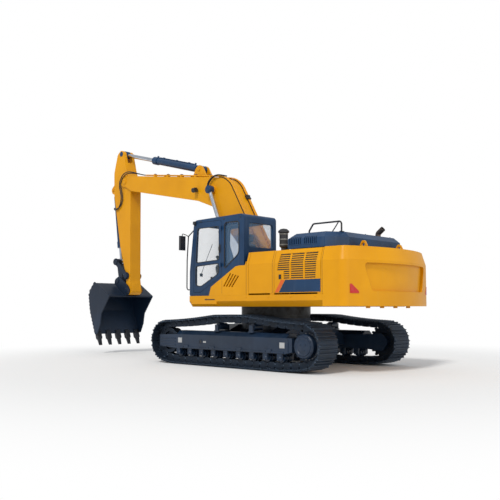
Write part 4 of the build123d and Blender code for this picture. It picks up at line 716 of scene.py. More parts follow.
@dataclass
class Piece:
    """One new piece: a bmesh with its name, body and finish."""

    name: str
    body: str
    finish: str
    smooth: float = 35.0
    replaces: tuple[str, ...] = ()
    bm: bmesh.types.BMesh = field(default_factory=bmesh.new)

    def _bevel(self, verts: Iterable[bmesh.types.BMVert], size: float) -> None:
        """Bevels the sharp edges round some corners.

        Args:
            verts: the corners.
            size: the bevel's width; none is made at 0.
        """
        if size <= 0:
            return
        edges = {edge for vert in verts for edge in vert.link_edges}
        sharp = [edge for edge in edges if len(edge.link_faces) == 2 and edge.calc_face_angle() > SHARP_ANGLE]
        bmesh.ops.bevel(
            self.bm, geom=sharp, offset=size, segments=1, affect="EDGES", profile=0.5, material=-1
        )

    def block(self, low: Point, high: Point, bevel: float = 0.004) -> None:
        """Adds a block with bevelled edges.

        Args:
            low: its lowest corner.
            high: its highest corner.
            bevel: the bevel's width.
        """
        size = Vector(high) - Vector(low)
        middle = (Vector(high) + Vector(low)) / 2
        matrix = Matrix.Translation(middle) @ Matrix.Diagonal((*size, 1))
        made = bmesh.ops.create_cube(self.bm, size=1.0, matrix=matrix)
        self._bevel(made["verts"], min(bevel, min(size) * 0.3))

    def prism(
        self, outline: Sequence[Place], axis: Axis, low: float, high: float, bevel: float = 0.004
    ) -> None:
        """Adds an outline made solid along an axis.

        Args:
            outline: the corners; (x, z) along Y, (x, y) along Z or (y, z) along X.
            axis: the axis it is made solid along.
            low, high: the two ends along the axis.
            bevel: the bevel's width.
        """
        def put(a: float, b: float, c: float) -> Point:
            """The point at (a, b) in the outline's plane and c along the axis."""
            return {Axis.X: (c, a, b), Axis.Y: (a, c, b), Axis.Z: (a, b, c)}[axis]

        first = [self.bm.verts.new(put(a, b, low)) for a, b in outline]
        face = self.bm.faces.new(first)
        swept = bmesh.ops.extrude_face_region(self.bm, geom=[face])
        moved = [part for part in swept["geom"] if isinstance(part, bmesh.types.BMVert)]
        shift = Vector(put(0, 0, high)) - Vector(put(0, 0, low))
        bmesh.ops.translate(self.bm, vec=shift, verts=moved)
        self._bevel(first + moved, bevel)

    def rod(self, start: Point, end: Point, radius: float, sides: int = 20, bevel: float = 0.0) -> None:
        """Adds a round bar between two places.

        Args:
            start, end: the middles of its two ends.
            radius: its radius.
            sides: how many steps round.
            bevel: the bevel's width on its end edges.
        """
        a, b = Vector(start), Vector(end)
        turn = (b - a).to_track_quat("Z", "Y").to_matrix().to_4x4()
        matrix = Matrix.Translation((a + b) / 2) @ turn
        made = bmesh.ops.create_cone(
            self.bm, cap_ends=True, segments=sides, radius1=radius, radius2=radius, depth=(b - a).length,
            matrix=matrix,
        )
        self._bevel(made["verts"], bevel)

    def bolt(self, centre: Point, way: Point, size: float = 0.018, washer: bool = True) -> None:
        """Adds a hexagon bolt head, with a washer.

        Args:
            centre: the place on the surface.
            way: the direction it stands out.
            size: half its width across corners.
            washer: whether it has a washer.
        """
        out = Vector(way).normalized()
        foot = Vector(centre)
        if washer:
            self.rod(foot, foot + out * size * WASHER_HEIGHT, size * WASHER_RADIUS, 16)
        self.rod(foot, foot + out * size * HEAD_HEIGHT, size, 6, bevel=size * HEAD_BEVEL)

    def bolt_circle(
        self, centre: Point, way: Point, radius: float, angles: Iterable[float], size: float,
        washer: bool = True,
    ) -> None:
        """Adds bolts round a circle.

        Args:
            centre: the circle's middle.
            way: the direction they stand out, along Y or Z.
            radius: the circle's radius.
            angles: where they stand on it.
            size: half a bolt's width across corners.
            washer: whether they have washers.
        """
        x, y, z = centre
        for angle in angles:
            a, b = radius * math.cos(angle), radius * math.sin(angle)
            self.bolt((x + a, y, z + b) if way[1] else (x + a, y + b, z), way, size, washer)

    def lathe(self, profile: Sequence[Place], centre: Point, way: Point, sides: int = 40) -> None:
        """Adds a turned shape.

        Args:
            profile: (radius, height) pairs.
            centre: the place of height 0.
            way: the turning axis.
            sides: how many steps round.
        """
        turn = Vector(way).to_track_quat("Z", "Y").to_matrix().to_4x4()
        matrix = Matrix.Translation(centre) @ turn
        verts = [self.bm.verts.new(matrix @ Vector((r, 0, h))) for r, h in profile]
        edges = [self.bm.edges.new((verts[i], verts[i + 1])) for i in range(len(verts) - 1)]
        bmesh.ops.spin(
            self.bm, geom=verts + edges, cent=centre, axis=matrix.to_3x3() @ Vector((0, 0, 1)),
            angle=math.tau, steps=sides, use_merge=True,
        )
        bmesh.ops.remove_doubles(self.bm, verts=self.bm.verts[:], dist=WELD)

    def tube(self, route: Sequence[Point], radius: float, sides: int = 10, order: int = 3) -> None:
        """Adds a smooth tube that follows a route.

        Args:
            route: the control points of its smooth line.
            radius: the tube's radius.
            sides: the corners of its section.
            order: the spline's order; 2 gives straight runs.
        """
        curve = bpy.data.curves.new(self.name + "_path", "CURVE")
        curve.dimensions = "3D"
        curve.bevel_depth = radius
        curve.bevel_resolution = max(1, sides // 4)
        curve.resolution_u = 8
        curve.use_fill_caps = True
        spline = curve.splines.new("NURBS")
        spline.points.add(len(route) - 1)
        for point, place in zip(spline.points, route):
            point.co = (*place, 1.0)
        spline.order_u = order
        spline.use_endpoint_u = True
        holder = bpy.data.objects.new(self.name + "_path", curve)
        bpy.context.scene.collection.objects.link(holder)
        bpy.context.view_layer.update()
        mesh = bpy.data.meshes.new_from_object(holder.evaluated_get(bpy.context.evaluated_depsgraph_get()))
        self.bm.from_mesh(mesh)
        bpy.data.objects.remove(holder)
        bpy.data.meshes.remove(mesh)

    def pad(self, middle: Point, size: Point, lean: float, channels: Sequence[float] = ()) -> None:
        """Adds a crowned cushion whose sides pull in between its corners.

        Args:
            middle: the cushion's middle.
            size: its length, width and thickness; the crowned faces lie across the thickness.
            lean: its turn about the Y axis, in radians.
            channels: sewn grooves across the length, each from -1 to 1.
        """
        form = bmesh.new()
        bmesh.ops.create_cube(form, size=2.0)
        bmesh.ops.subdivide_edges(form, edges=form.edges[:], cuts=PAD_CUTS, use_grid_fill=True)
        turn = Matrix.Translation(middle) @ Matrix.Rotation(lean, 4, "Y") @ Matrix.Diagonal(
            (size[0] / 2, size[1] / 2, size[2] / 2, 1))
        for vert in form.verts:
            x, y, z = vert.co
            norm = sum(abs(part) ** PAD_ROUNDING for part in (x, y, z)) ** (1 / PAD_ROUNDING)
            x, y, z = x / norm, y / norm, z / norm
            groove = sum(math.exp(-(((x - place) / GROOVE_WIDTH) ** 2)) for place in channels)
            crown = (1 - PAD_CROWN) + PAD_CROWN * (1 - x * x) * (1 - y * y) - GROOVE_DEPTH * groove
            x, y, z = x * (1 - PAD_WAIST * (1 - y * y)), y * (1 - PAD_WAIST * (1 - x * x)), z * crown
            vert.co = turn @ Vector((x, y, z))
        mesh = bpy.data.meshes.new(self.name + "_pad")
        form.to_mesh(mesh)
        form.free()
        self.bm.from_mesh(mesh)
        bpy.data.meshes.remove(mesh)


def unit(start: Place, end: Place) -> tuple[Place, float]:
    """The direction and length from one place to another, in a side view.

    Args:
        start: the first place.
        end: the second place.

    Returns:
        The direction, of length 1, and the distance.
    """
    dx, dz = end[0] - start[0], end[1] - start[1]
    length = math.hypot(dx, dz)
    return (dx / length, dz / length), length


def go(start: Place, way: Place, distance: float) -> Place:
    """The place a distance along a direction, in a side view."""
    return start[0] + way[0] * distance, start[1] + way[1] * distance


def left_of(way: Place) -> Place:
    """The direction a quarter turn anticlockwise from another, in a side view."""
    return -way[1], way[0]


def at_y(place: Place, y: float) -> Point:
    """The point at a place of the side view, so far along Y."""
    return place[0], y, place[1]


def around(centre: Place, radius: float, angle: float) -> Place:
    """The place on a circle at an angle, in a side view."""
    return centre[0] + radius * math.cos(angle), centre[1] + radius * math.sin(angle)


def bearing(centre: Place, place: Place) -> float:
    """The angle at which a place is seen from a centre, in a side view."""
    return math.atan2(place[1] - centre[1], place[0] - centre[0])


def turns(count: int, first: float = 0.0) -> list[float]:
    """Angles spaced evenly round a circle; first is in steps."""
    return [math.tau * (index + first) / count for index in range(count)]


@dataclass
class Chain:
    """The track chain: its pins on the same path as the part's, and the detailed shoes and links."""

    width: float = 0.60
    shoes: int = 50
    pin_radius: float = 0.351
    link_out: float = 0.070
    shoe: float = 0.016
    lug: float = 0.028
    lugs: tuple[float, ...] = (-0.073, 0.0, 0.073)
    corner: float = 0.02
    rail: Place = (0.058, 0.102)
    shoe_bolt: Place = (0.045, 0.135)
    pin_and_bush: tuple[Place, ...] = ((0.110, 0.024), (0.056, 0.034))
    low_z: float = 0.114
    top_z: float = 0.986
    flat_front: float = 1.69
    flat_rear: float = -1.47
    carriers: tuple[float, float] = (0.402, -0.603)
    sag: float = 0.022
    arc_steps: int = 90
    bow_steps: int = 40

    def _tangent(self, outside: Place, centre: Place, turn: int) -> Place:
        """Where the line from a place touches a tumbler's pin circle.

        Args:
            outside: the place.
            centre: the tumbler's centre.
            turn: 1 or -1, for the side it touches on.

        Returns:
            The touching place.
        """
        angle = bearing(centre, outside) + turn * math.acos(self.pin_radius / unit(centre, outside)[1])
        return around(centre, self.pin_radius, angle)

    def _arc(self, centre: Place, start: Place, end: Place) -> list[Place]:
        """The pin line round a tumbler, anticlockwise.

        Args:
            centre: the tumbler's centre.
            start: where it meets the tumbler.
            end: where it leaves.

        Returns:
            Its places, with both ends.
        """
        begin, finish = bearing(centre, start), bearing(centre, end)
        while finish < begin:
            finish += math.tau
        return [
            around(centre, self.pin_radius, begin + (finish - begin) * index / self.arc_steps)
            for index in range(self.arc_steps + 1)
        ]

    def _bow(self, start: Place, end: Place) -> list[Place]:
        """The sagging pin line between two supports.

        Args:
            start: the first support.
            end: the second support.

        Returns:
            Its places, with both ends.
        """
        places = []
        for index in range(self.bow_steps + 1):
            share = index / self.bow_steps
            places.append((start[0] + (end[0] - start[0]) * share,
                           start[1] + (end[1] - start[1]) * share - self.sag * 4 * share * (1 - share)))
        return places

    def pins(self) -> list[Place]:
        """The chain's pins, evenly spaced along the path.

        Returns:
            One place a shoe.
        """
        front, rear = (TUMBLER_X, TUMBLER_Z), (-TUMBLER_X, TUMBLER_Z)
        low_front, low_rear = (self.flat_front, self.low_z), (self.flat_rear, self.low_z)
        top_front, top_rear = (self.carriers[0], self.top_z), (self.carriers[1], self.top_z)
        front_in, front_out = self._tangent(low_front, front, 1), self._tangent(top_front, front, -1)
        rear_in, rear_out = self._tangent(top_rear, rear, 1), self._tangent(low_rear, rear, -1)
        path = [low_rear, low_front, *self._arc(front, front_in, front_out), *self._bow(front_out, top_front),
                top_rear, *self._bow(top_rear, rear_in), *self._arc(rear, rear_in, rear_out), low_rear]
        lengths = [0.0]
        for a, b in zip(path, path[1:]):
            lengths.append(lengths[-1] + math.dist(a, b))
        pitch = lengths[-1] / self.shoes
        first = math.fmod(self.flat_front - self.flat_rear, pitch)
        found: list[Place] = []
        at = 0
        for index in range(self.shoes):
            want = first + pitch * index
            while lengths[at + 1] < want:
                at += 1
            share = (want - lengths[at]) / (lengths[at + 1] - lengths[at])
            a, b = path[at], path[at + 1]
            found.append((a[0] + (b[0] - a[0]) * share, a[1] + (b[1] - a[1]) * share))
        return found

    def _shoe(self, track: Piece, at: Spot, y: float) -> None:
        """Adds one shoe: its three-lug plate with a lip over the next, and the worn step at its ends.

        Args:
            track: the piece it goes into.
            at: gives a place from how far it lies along the link and out from the pin line.
            y: the track's middle.
        """
        half, face = self.width / 2, self.link_out
        plate, tip = face + self.shoe, face + self.shoe + self.lug
        profile = [at(-0.110, face), at(-0.114, face + 0.007), at(-0.108, plate)]
        for lug in self.lugs:
            profile += [at(lug - 0.014, plate), at(lug - 0.006, tip), at(lug + 0.006, tip),
                        at(lug + 0.014, plate)]
        profile += [at(0.098, plate), at(0.116, plate - 0.010), at(0.142, face - 0.006),
                    at(0.139, face - 0.015), at(0.108, face - 0.008), at(0.100, face)]
        track.prism(profile, Axis.Y, y - half + self.corner, y + half - self.corner, 0.0)
        for edge in (-1, 1):
            ends = [at(-0.086, face), at(-0.090, plate - 0.003)]
            for lug in self.lugs:
                ends += [at(lug - 0.010, plate - 0.003), at(lug - 0.004, tip - 0.008),
                         at(lug + 0.004, tip - 0.008), at(lug + 0.010, plate - 0.003)]
            ends += [at(0.084, plate - 0.003), at(0.084, face)]
            low, high = sorted((y + edge * half, y + edge * (half - self.corner)))
            track.prism(ends, Axis.Y, low, high, 0.0)

    def _links(self, track: Piece, at: Spot, out: Place, y: float) -> None:
        """Adds one pair of links with the bolts of their shoe.

        Args:
            track: the piece they go into.
            at: gives a place from how far it lies along the link and out from the pin line.
            out: the outward direction.
            y: the track's middle.
        """
        for rail in (-1, 1):
            link = [at(-0.100, -0.030), at(-0.082, -0.052), at(-0.040, -0.056), at(0.040, -0.056),
                    at(0.082, -0.052), at(0.100, -0.030), at(0.105, 0.020), at(0.080, 0.062),
                    at(0.060, self.link_out), at(-0.060, self.link_out), at(-0.080, 0.062), at(-0.105, 0.020)]
            low, high = sorted(y + rail * edge for edge in self.rail)
            track.prism(link, Axis.Y, low, high, 0.003)
            along, across = self.shoe_bolt
            for end in (-1, 1):
                foot = at(end * along, self.link_out - 0.001)
                track.bolt(at_y(foot, y + rail * across), (-out[0], 0, -out[1]), 0.015, False)

    def dress(self, shop: Workshop, side: int) -> None:
        """Makes one detailed track in place of the part's plain ring.

        Args:
            shop: gives the finishes.
            side: 1 for the left track, -1 for the right.
        """
        name = "left" if side > 0 else "right"
        y = side * GAUGE / 2
        track = Piece(f"track_{name}_chain", Body.UNDER.value, Slot.TRACK.value, 30.0, (f"track_{name}",))
        pins = self.pins()
        for index, start in enumerate(pins):
            way, pitch = unit(start, pins[(index + 1) % len(pins)])
            out = (way[1], -way[0])
            middle = go(start, way, pitch / 2)

            def at(along: float, height: float, m: Place = middle, w: Place = way, o: Place = out) -> Place:
                """The place so far along the link and out from the pin line."""
                return go(go(m, w, along), o, height)

            self._shoe(track, at, y)
            self._links(track, at, out, y)
            for half, radius in self.pin_and_bush:
                track.rod(at_y(start, y - half), at_y(start, y + half), radius, 12)
        shop.deliver(track)


@dataclass
class UnderDetails:
    """Fine pieces of the undercarriage; offsets across are from a track's middle."""

    shop: Workshop
    cover_y: float = 0.232
    sprocket_y: float = 0.083
    frame_y: float = 0.190
    cover: tuple[Place, ...] = (
        (0.0, 0.014), (0.10, 0.014), (0.12, 0.005), (0.150, 0.005), (0.158, 0.012), (0.176, 0.012),
        (0.184, -0.002))
    cover_bolts: int = 12
    cover_bolt_radius: float = 0.205
    plug_radius: float = 0.07
    plugs: tuple[float, ...] = (0.5, 2.6, 4.2)
    sprocket_bolts: int = 20
    sprocket_bolt_radius: float = 0.252
    ribs: tuple[float, ...] = (0.395, 0.470, 0.545)
    feet: tuple[float, ...] = (-1.10, -0.28, 0.54, 1.36)
    marks: tuple[tuple[float, ...], ...] = (
        (1.56, 0.525, 0.13, 0.11), (-1.46, 0.513, 0.13, 0.11), (0.755, 0.507, 0.09, 0.035))
    frame_hole: Place = (0.879, 0.514)
    hole_radius: float = 0.036
    roller_cap: tuple[Place, ...] = ((0.0, 0.016), (0.020, 0.015), (0.034, 0.009), (0.042, 0.0))
    roller_flange: tuple[Place, ...] = ((0.084, 0.0), (0.098, 0.004), (0.098, 0.014), (0.080, 0.018))
    rollers: int = 9
    roller_first: Place = (1.622, 0.2543)
    roller_pitch: float = 0.37575
    ring_bolts: int = 36
    ring_radius: float = 0.742
    ring_z: float = 1.0205

    def build(self) -> None:
        """Makes both sides' drive covers, frame fittings and roller caps, and the ring's bolts."""
        for side, name in ((1, "left"), (-1, "right")):
            self._drive(side, name)
            self._frame(side, name)
            self._rollers(side, name)
        bolts = Piece("slew_ring_bolts", Body.UNDER.value, Extra.ZINC.value)
        centre = (0, 0, self.ring_z)
        bolts.bolt_circle(centre, (0, 0, -1), self.ring_radius, turns(self.ring_bolts), 0.014, False)
        self.shop.deliver(bolts)

    def _drive(self, side: int, name: str) -> None:
        """Makes a final drive's cover and the sprocket's bolts.

        Args:
            side: 1 for left, -1 for right.
            name: the side's word in the pieces' names.
        """
        y = side * (GAUGE / 2 + self.cover_y)
        out = (0, side, 0)
        cover = Piece(f"drive_cover_{name}", Body.UNDER.value, Slot.FRAME.value)
        cover.lathe(self.cover, (-TUMBLER_X, y, TUMBLER_Z), out, 40)
        rim, hub = (-TUMBLER_X, y - side * 0.003, TUMBLER_Z), (-TUMBLER_X, y + side * 0.010, TUMBLER_Z)
        cover.bolt_circle(rim, out, self.cover_bolt_radius, turns(self.cover_bolts), 0.014)
        cover.bolt_circle(hub, out, self.plug_radius, self.plugs, 0.017)
        self.shop.deliver(cover)
        bolts = Piece(f"sprocket_bolts_{name}", Body.UNDER.value, Extra.ZINC.value)
        centre = (-TUMBLER_X, side * (GAUGE / 2 + self.sprocket_y), TUMBLER_Z)
        places = turns(self.sprocket_bolts, 0.5)
        bolts.bolt_circle(centre, out, self.sprocket_bolt_radius, places, 0.011, False)
        self.shop.deliver(bolts)

    def _frame(self, side: int, name: str) -> None:
        """Makes a track frame's ribs, roller feet, pale marks, and the rim of its hole with a dark disc in it
        as painted shade.

        Args:
            side: 1 for left, -1 for right.
            name: the side's word in the pieces' names.
        """
        y = side * (GAUGE / 2 + self.frame_y)
        low, high = sorted((y, y + side * 0.012))
        hole_x, hole_z = self.frame_hole
        frame = Piece(f"track_frame_fittings_{name}", Body.UNDER.value, Slot.FRAME.value)
        for z in self.ribs:
            frame.block((1.72, low, z), (2.22, high, z + 0.030), 0.004)
        frame.prism([(-1.50, 0.352), (1.60, 0.352), (1.60, 0.392), (-1.50, 0.392)], Axis.Y, low, high)
        for x in self.feet:
            foot = [(x - 0.11, 0.352), (x + 0.11, 0.352), (x + 0.08, 0.430), (x - 0.08, 0.430)]
            frame.prism(foot, Axis.Y, *sorted((y, y + side * 0.020)))
            for shift in (-0.07, 0.07):
                frame.bolt((x + shift, y + side * 0.020, 0.385), (0, side, 0), 0.013)
        rim = [(self.hole_radius, 0.0), (0.052, 0.0), (0.050, 0.008), (self.hole_radius, 0.008)]
        frame.lathe(rim, (hole_x, y, hole_z), (0, side, 0), 28)
        frame.prism([(-1.62, 0.36), (-1.55, 0.36), (-1.55, 0.64), (-1.62, 0.60)], Axis.Y, low, high)
        self.shop.deliver(frame)
        marks = Piece(f"track_frame_marks_{name}", Body.UNDER.value, Extra.MARK.value)
        low, high = sorted((y, y + side * 0.003))
        for x, z, wide, tall in self.marks:
            marks.block((x - wide / 2, low, z - tall / 2), (x + wide / 2, high, z + tall / 2), 0.001)
        self.shop.deliver(marks)
        # Painted shade: a flat dark disc in the hole stands in for the shade inside it.
        hole = Piece(f"track_frame_hole_{name}", Body.UNDER.value, Slot.PLASTIC.value)
        ends = at_y(self.frame_hole, y - side * 0.001), at_y(self.frame_hole, y + side * 0.002)
        hole.rod(*ends, self.hole_radius, 28)
        self.shop.deliver(hole)

    def _rollers(self, side: int, name: str) -> None:
        """Makes the caps, flanges and foot bolts of one side's bottom rollers.

        Args:
            side: 1 for left, -1 for right.
            name: the side's word in the piece's name.
        """
        middle = side * GAUGE / 2
        caps = Piece(f"roller_caps_{name}", Body.UNDER.value, Slot.FRAME.value)
        z = self.roller_first[1]
        for index in range(self.rollers):
            x = self.roller_first[0] - index * self.roller_pitch
            for edge in (-1, 1):
                y = middle + edge * 0.186
                way = (0, edge, 0)
                caps.lathe(self.roller_cap, (x, y, z), way, 20)
                caps.lathe(self.roller_flange, (x, middle + edge * 0.036, z), way, 24)
                for shift in (-0.045, 0.045):
                    caps.bolt((x + shift, y, z + 0.055), way, 0.011, False)
        self.shop.deliver(caps)


@dataclass
class BodyDetails:
    """Fine pieces of the upper body."""

    shop: Workshop
    side_y: float = 1.495
    deck_bolt_z: float = 1.452
    hood_z: float = 2.700
    weight_top_z: float = 2.409
    tail_radius: float = 3.308
    grille_back: tuple[Place, ...] = (
        (1.428, 1.795), (1.428, 2.13), (1.362, 2.312), (1.352, 2.312), (1.420, 2.13), (1.420, 1.795))
    grille_bar: tuple[Place, ...] = (
        (1.462, 1.80), (1.496, 1.80), (1.496, 2.13), (1.424, 2.308), (1.392, 2.300), (1.462, 2.12))
    panel_seam: tuple[Place, ...] = (
        (1.4940, 1.533), (1.4940, 2.129), (1.4140, 2.379), (1.405, 2.379), (1.485, 2.129), (1.485, 1.533))
    bars: tuple[float, ...] = (-2.022, -1.678)
    seams: tuple[float, ...] = (-0.501, -1.218, -2.460)
    hood_plates: tuple[tuple[float, ...], ...] = ((-1.90, -1.62, -0.80, 0.88), (-2.50, -2.00, -0.70, 0.80))
    hood_studs: float = 0.075
    hood_bolts_x: tuple[float, ...] = (-1.585, -1.95, -2.56)
    hood_bolts_y: tuple[float, ...] = (-0.70, 0.2, 1.05)
    rail_feet: Place = (-1.736, -2.528)
    slot_fronts: Place = (-1.538, -1.928)
    slot_length: float = 0.322
    weight_bolts: Place = (-2.875, -2.755)
    weight_bolt_y: float = 0.64
    reflector_angles: Place = (21.3, 24.6)
    reflector_z: Place = (1.512, 1.683)
    reflector_depth: float = 0.009
    reflector_steps: int = 6
    deck_bolts: tuple[float, ...] = (-2.30, -1.70, -1.10, -0.50, 0.10, 0.70)
    band: tuple[Place, ...] = ((0.0895, -0.013), (0.094, -0.011), (0.094, 0.011), (0.0895, 0.013))
    bands: tuple[float, ...] = (2.545, 2.655, 2.765)
    slats: int = 12
    slat_low: float = 1.813
    slat_pitch: float = 0.042
    stud: tuple[Place, ...] = ((0.0, 0.006), (0.010, 0.006))

    def build(self) -> None:
        """Makes the grille, stripe, seams, latches, hood plates, weight fittings, deck and air intake."""
        self._grille()
        self._stripe()
        self._latches()
        self._hood()
        self._weight()
        self._deck()
        self._intake()

    def _grille(self) -> None:
        """Makes the dark backing, the dark strips in the gaps between the slats, which are painted shade over
        the slats' undersides, and the two upright bars.
        """
        mesh = Piece("grille_backing", Body.GRILLE.value, Slot.PLASTIC.value)
        mesh.prism(self.grille_back, Axis.X, -2.345, -1.345, 0.0)
        self.shop.deliver(mesh)
        # Painted shade: a dark strip fills each gap between the slats, so the slats' undersides read as
        # shaded.
        gap_shade_strips = Piece("grille_gap_shade_strips", Body.GRILLE.value, Slot.PLASTIC.value)
        for index in range(self.slats):
            low = self.slat_low + index * self.slat_pitch
            back = 1.482 - max(0.0, low + 0.010 - 2.130) * 0.3175
            left = max(-2.341, -2.302 - (low - 1.8) * 0.079)
            right = -1.352 - (low - 1.975) * 0.167 if low > 1.975 else -1.518
            for start, end in ((left, -2.044), (-2.001, -1.699), (-1.656, right)):
                gap_shade_strips.block((start, back - 0.004, low), (end, back, low + 0.020), 0.0)
        self.shop.deliver(gap_shade_strips)
        bars = Piece("grille_bars", Body.GRILLE.value, Slot.YELLOW.value)
        for x in self.bars:
            bars.prism(self.grille_bar, Axis.X, x - 0.011, x + 0.011, 0.002)
        self.shop.deliver(bars)

    def _stripe(self) -> None:
        """Makes the blank stripe plate, its accent and the panels' seams."""
        low, high = self.side_y, self.side_y + 0.003
        for name, finish, outline in (
            ("stripe_plate", Slot.DARK.value,
             [(-2.420, 1.545), (-1.392, 1.545), (-1.556, 1.788), (-2.420, 1.788)]),
            ("stripe_accent", Extra.ORANGE.value,
             [(-1.380, 1.545), (-1.284, 1.545), (-1.448, 1.788), (-1.544, 1.788)]),
        ):
            plate = Piece(name, Body.GRILLE.value, finish)
            plate.prism(outline, Axis.Y, low, high, 0.001)
            self.shop.deliver(plate)
        seam = Piece("panel_seams", Body.UPPER.value, Slot.PLASTIC.value)
        seam.block((0.2095, low - 0.001, 1.546), (0.2145, low + 0.001, 1.885), 0.0005)
        seam.block((0.43, low - 0.001, 1.409), (0.74, high, 1.431), 0.001)
        for x in self.seams:
            seam.prism(self.panel_seam, Axis.X, x - 0.0025, x + 0.0025, 0.0)
        self.shop.deliver(seam)

    def _latches(self) -> None:
        """Makes the latches of the grille door and the pump bay door."""
        for name, body, x, z, side in (
            ("grille_latch", Body.GRILLE.value, -1.423, 1.850, 1),
            ("pump_latch", Body.PUMP.value, -1.36, 1.88, -1),
        ):
            y = side * self.side_y
            latch = Piece(name, body, Slot.PLASTIC.value)
            low, high = sorted((y, y + side * 0.010))
            latch.block((x - 0.030, low, z - 0.045), (x + 0.030, high, z + 0.045), 0.006)
            low, high = sorted((y + side * 0.008, y + side * 0.020))
            latch.block((x - 0.020, low, z - 0.020), (x + 0.020, high, z + 0.036), 0.005)
            latch.rod((x, y, z - 0.032), (x, y + side * 0.014, z - 0.032), 0.009, 16)
            self.shop.deliver(latch)

    def _studs(self, piece: Piece, first: Point, pitch: Place, counts: tuple[int, int], foot: float) -> None:
        """Adds rows of round grip studs.

        Args:
            piece: the piece they go into.
            first: the first stud's place.
            pitch: the spacing along X and Y.
            counts: how many along X and Y.
            foot: the radius of a stud's foot.
        """
        for row in range(counts[0]):
            for column in range(counts[1]):
                centre = (first[0] + row * pitch[0], first[1] + column * pitch[1], first[2])
                piece.lathe([*self.stud, (foot, 0.0)], centre, (0, 0, 1), 8)

    def _hood(self) -> None:
        """Makes the hood's tread plates, rail feet and slot frames."""
        plates = Piece("hood_tread_plates", Body.HOOD.value, Slot.DARK.value)
        step = self.hood_studs
        for x_low, x_high, y_low, y_high in self.hood_plates:
            plates.block((x_low, y_low, self.hood_z - 0.001), (x_high, y_high, self.hood_z + 0.009), 0.004)
            counts = int((x_high - x_low - 0.06) / step), int((y_high - y_low - 0.06) / step)
            self._studs(plates, (x_low + 0.05, y_low + 0.05, 2.708), (step, step), counts, 0.014)
        for x in self.hood_bolts_x:
            for y in self.hood_bolts_y:
                plates.bolt((x, y, self.hood_z), (0, 0, 1), 0.011)
        self.shop.deliver(plates)
        feet = Piece("hood_rail_feet", Body.HOOD.value, Slot.RAIL.value)
        for x in self.rail_feet:
            feet.block((x - 0.045, 0.925, self.hood_z), (x + 0.045, 0.995, 2.708), 0.003)
            for shift in (-0.032, 0.032):
                feet.bolt((x + shift, 0.940, 2.708), (0, 0, 1), 0.008, False)
        feet.tube([(-2.46, 0.96, 2.905), (-2.40, 0.97, 2.81), (-2.32, 0.99, 2.704)], 0.012)
        self.shop.deliver(feet)
        slots = Piece("hood_slot_frames", Body.HOOD.value, Slot.DARK.value)
        for front in self.slot_fronts:
            rear = front - self.slot_length
            outline = [(front, 2.464), (front, 2.474), (rear, 2.474), (rear, 2.464)]
            slots.prism(outline, Axis.Y, 1.369, 1.376, 0.001)
        self.shop.deliver(slots)

    def _weight(self) -> None:
        """Makes the counterweight's top bolts and its three-cornered reflectors."""
        trim = Piece("weight_trim", Body.UPPER.value, Slot.PLASTIC.value)
        for side in (1, -1):
            for x in self.weight_bolts:
                trim.bolt((x, side * self.weight_bolt_y, self.weight_top_z), (0, 0, 1), 0.012)
        self.shop.deliver(trim)
        lamps = Piece("rear_reflectors", Body.UPPER.value, Extra.RED.value)
        first, last = (math.radians(angle) for angle in self.reflector_angles)
        steps = self.reflector_steps
        low, high = self.reflector_z
        for side in (1, -1):
            angles = [first + (last - first) * index / steps for index in range(steps + 1)]
            outer, inner = (
                [(-radius * math.cos(angle), side * radius * math.sin(angle)) for angle in angles]
                for radius in (self.tail_radius, self.tail_radius - self.reflector_depth)
            )
            lamps.prism(outer + inner[::-1], Axis.Z, low, high, 0.0)
            foot, top = Vector((*outer[0], low)), Vector((*outer[-1], high))
            outward = Vector((*outer[0], 0)).normalized()
            slope = (top - foot).cross(outward).normalized() * side
            sliced = bmesh.ops.bisect_plane(
                lamps.bm, geom=self._half(lamps, side), plane_co=(foot + top) / 2 + Vector((0, 0, 0.035)),
                plane_no=slope, clear_outer=True,
            )
            open_edges = [part for part in sliced["geom_cut"] if isinstance(part, bmesh.types.BMEdge)]
            bmesh.ops.holes_fill(lamps.bm, edges=open_edges, sides=0)
        self.shop.deliver(lamps)

    @staticmethod
    def _half(piece: Piece, side: int) -> list[bmesh.types.BMVert | bmesh.types.BMEdge | bmesh.types.BMFace]:
        """All that a piece has on one side of the machine.

        Args:
            piece: the piece.
            side: 1 for left, -1 for right.

        Returns:
            Its corners, edges and faces there.
        """
        verts = [vert for vert in piece.bm.verts if vert.co.y * side > 0]
        edges = {edge for vert in verts for edge in vert.link_edges}
        faces = {face for vert in verts for face in vert.link_faces}
        return [*verts, *edges, *faces]

    def _deck(self) -> None:
        """Makes the deck's edge bolts and the step treads."""
        deck = Piece("deck_fittings", Body.UPPER.value, Slot.YELLOW.value)
        for x in self.deck_bolts:
            for side in (1, -1):
                deck.bolt((x, side * self.side_y, self.deck_bolt_z), (0, side, 0), 0.010)
        self.shop.deliver(deck)
        treads = Piece("step_treads", Body.UPPER.value, Slot.DARK.value)
        treads.block((0.74, -1.44, 1.960), (1.19, -0.55, 1.970), 0.004)
        treads.block((0.50, -1.44, 1.700), (0.68, -0.55, 1.710), 0.004)
        treads.block((-0.70, -1.36, 2.420), (0.05, -0.60, 2.430), 0.004)
        self._studs(treads, (0.78, -1.40, 1.969), (0.07, 0.08), (6, 11), 0.013)
        self.shop.deliver(treads)

    def _intake(self) -> None:
        """Makes the pre-cleaner's bands and its stay."""
        bands = Piece("pre_cleaner_bands", Body.UPPER.value, Extra.ZINC.value)
        for z in self.bands:
            bands.lathe(self.band, (-1.01, 0.90, z), (0, 0, 1), 36)
        bands.block((-1.035, 0.79, 2.52), (-0.985, 0.815, 2.56), 0.003)
        self.shop.deliver(bands)
        stay = Piece("pre_cleaner_stay", Body.UPPER.value, Slot.DARK.value)
        outline = [(-1.09, 2.383), (-0.93, 2.383), (-0.96, 2.60), (-1.06, 2.60)]
        stay.prism(outline, Axis.Y, 0.798, 0.806, 0.002)
        for x in (-1.06, -0.96):
            stay.bolt((x, 0.806, 2.41), (0, 1, 0), 0.010)
        self.shop.deliver(stay)


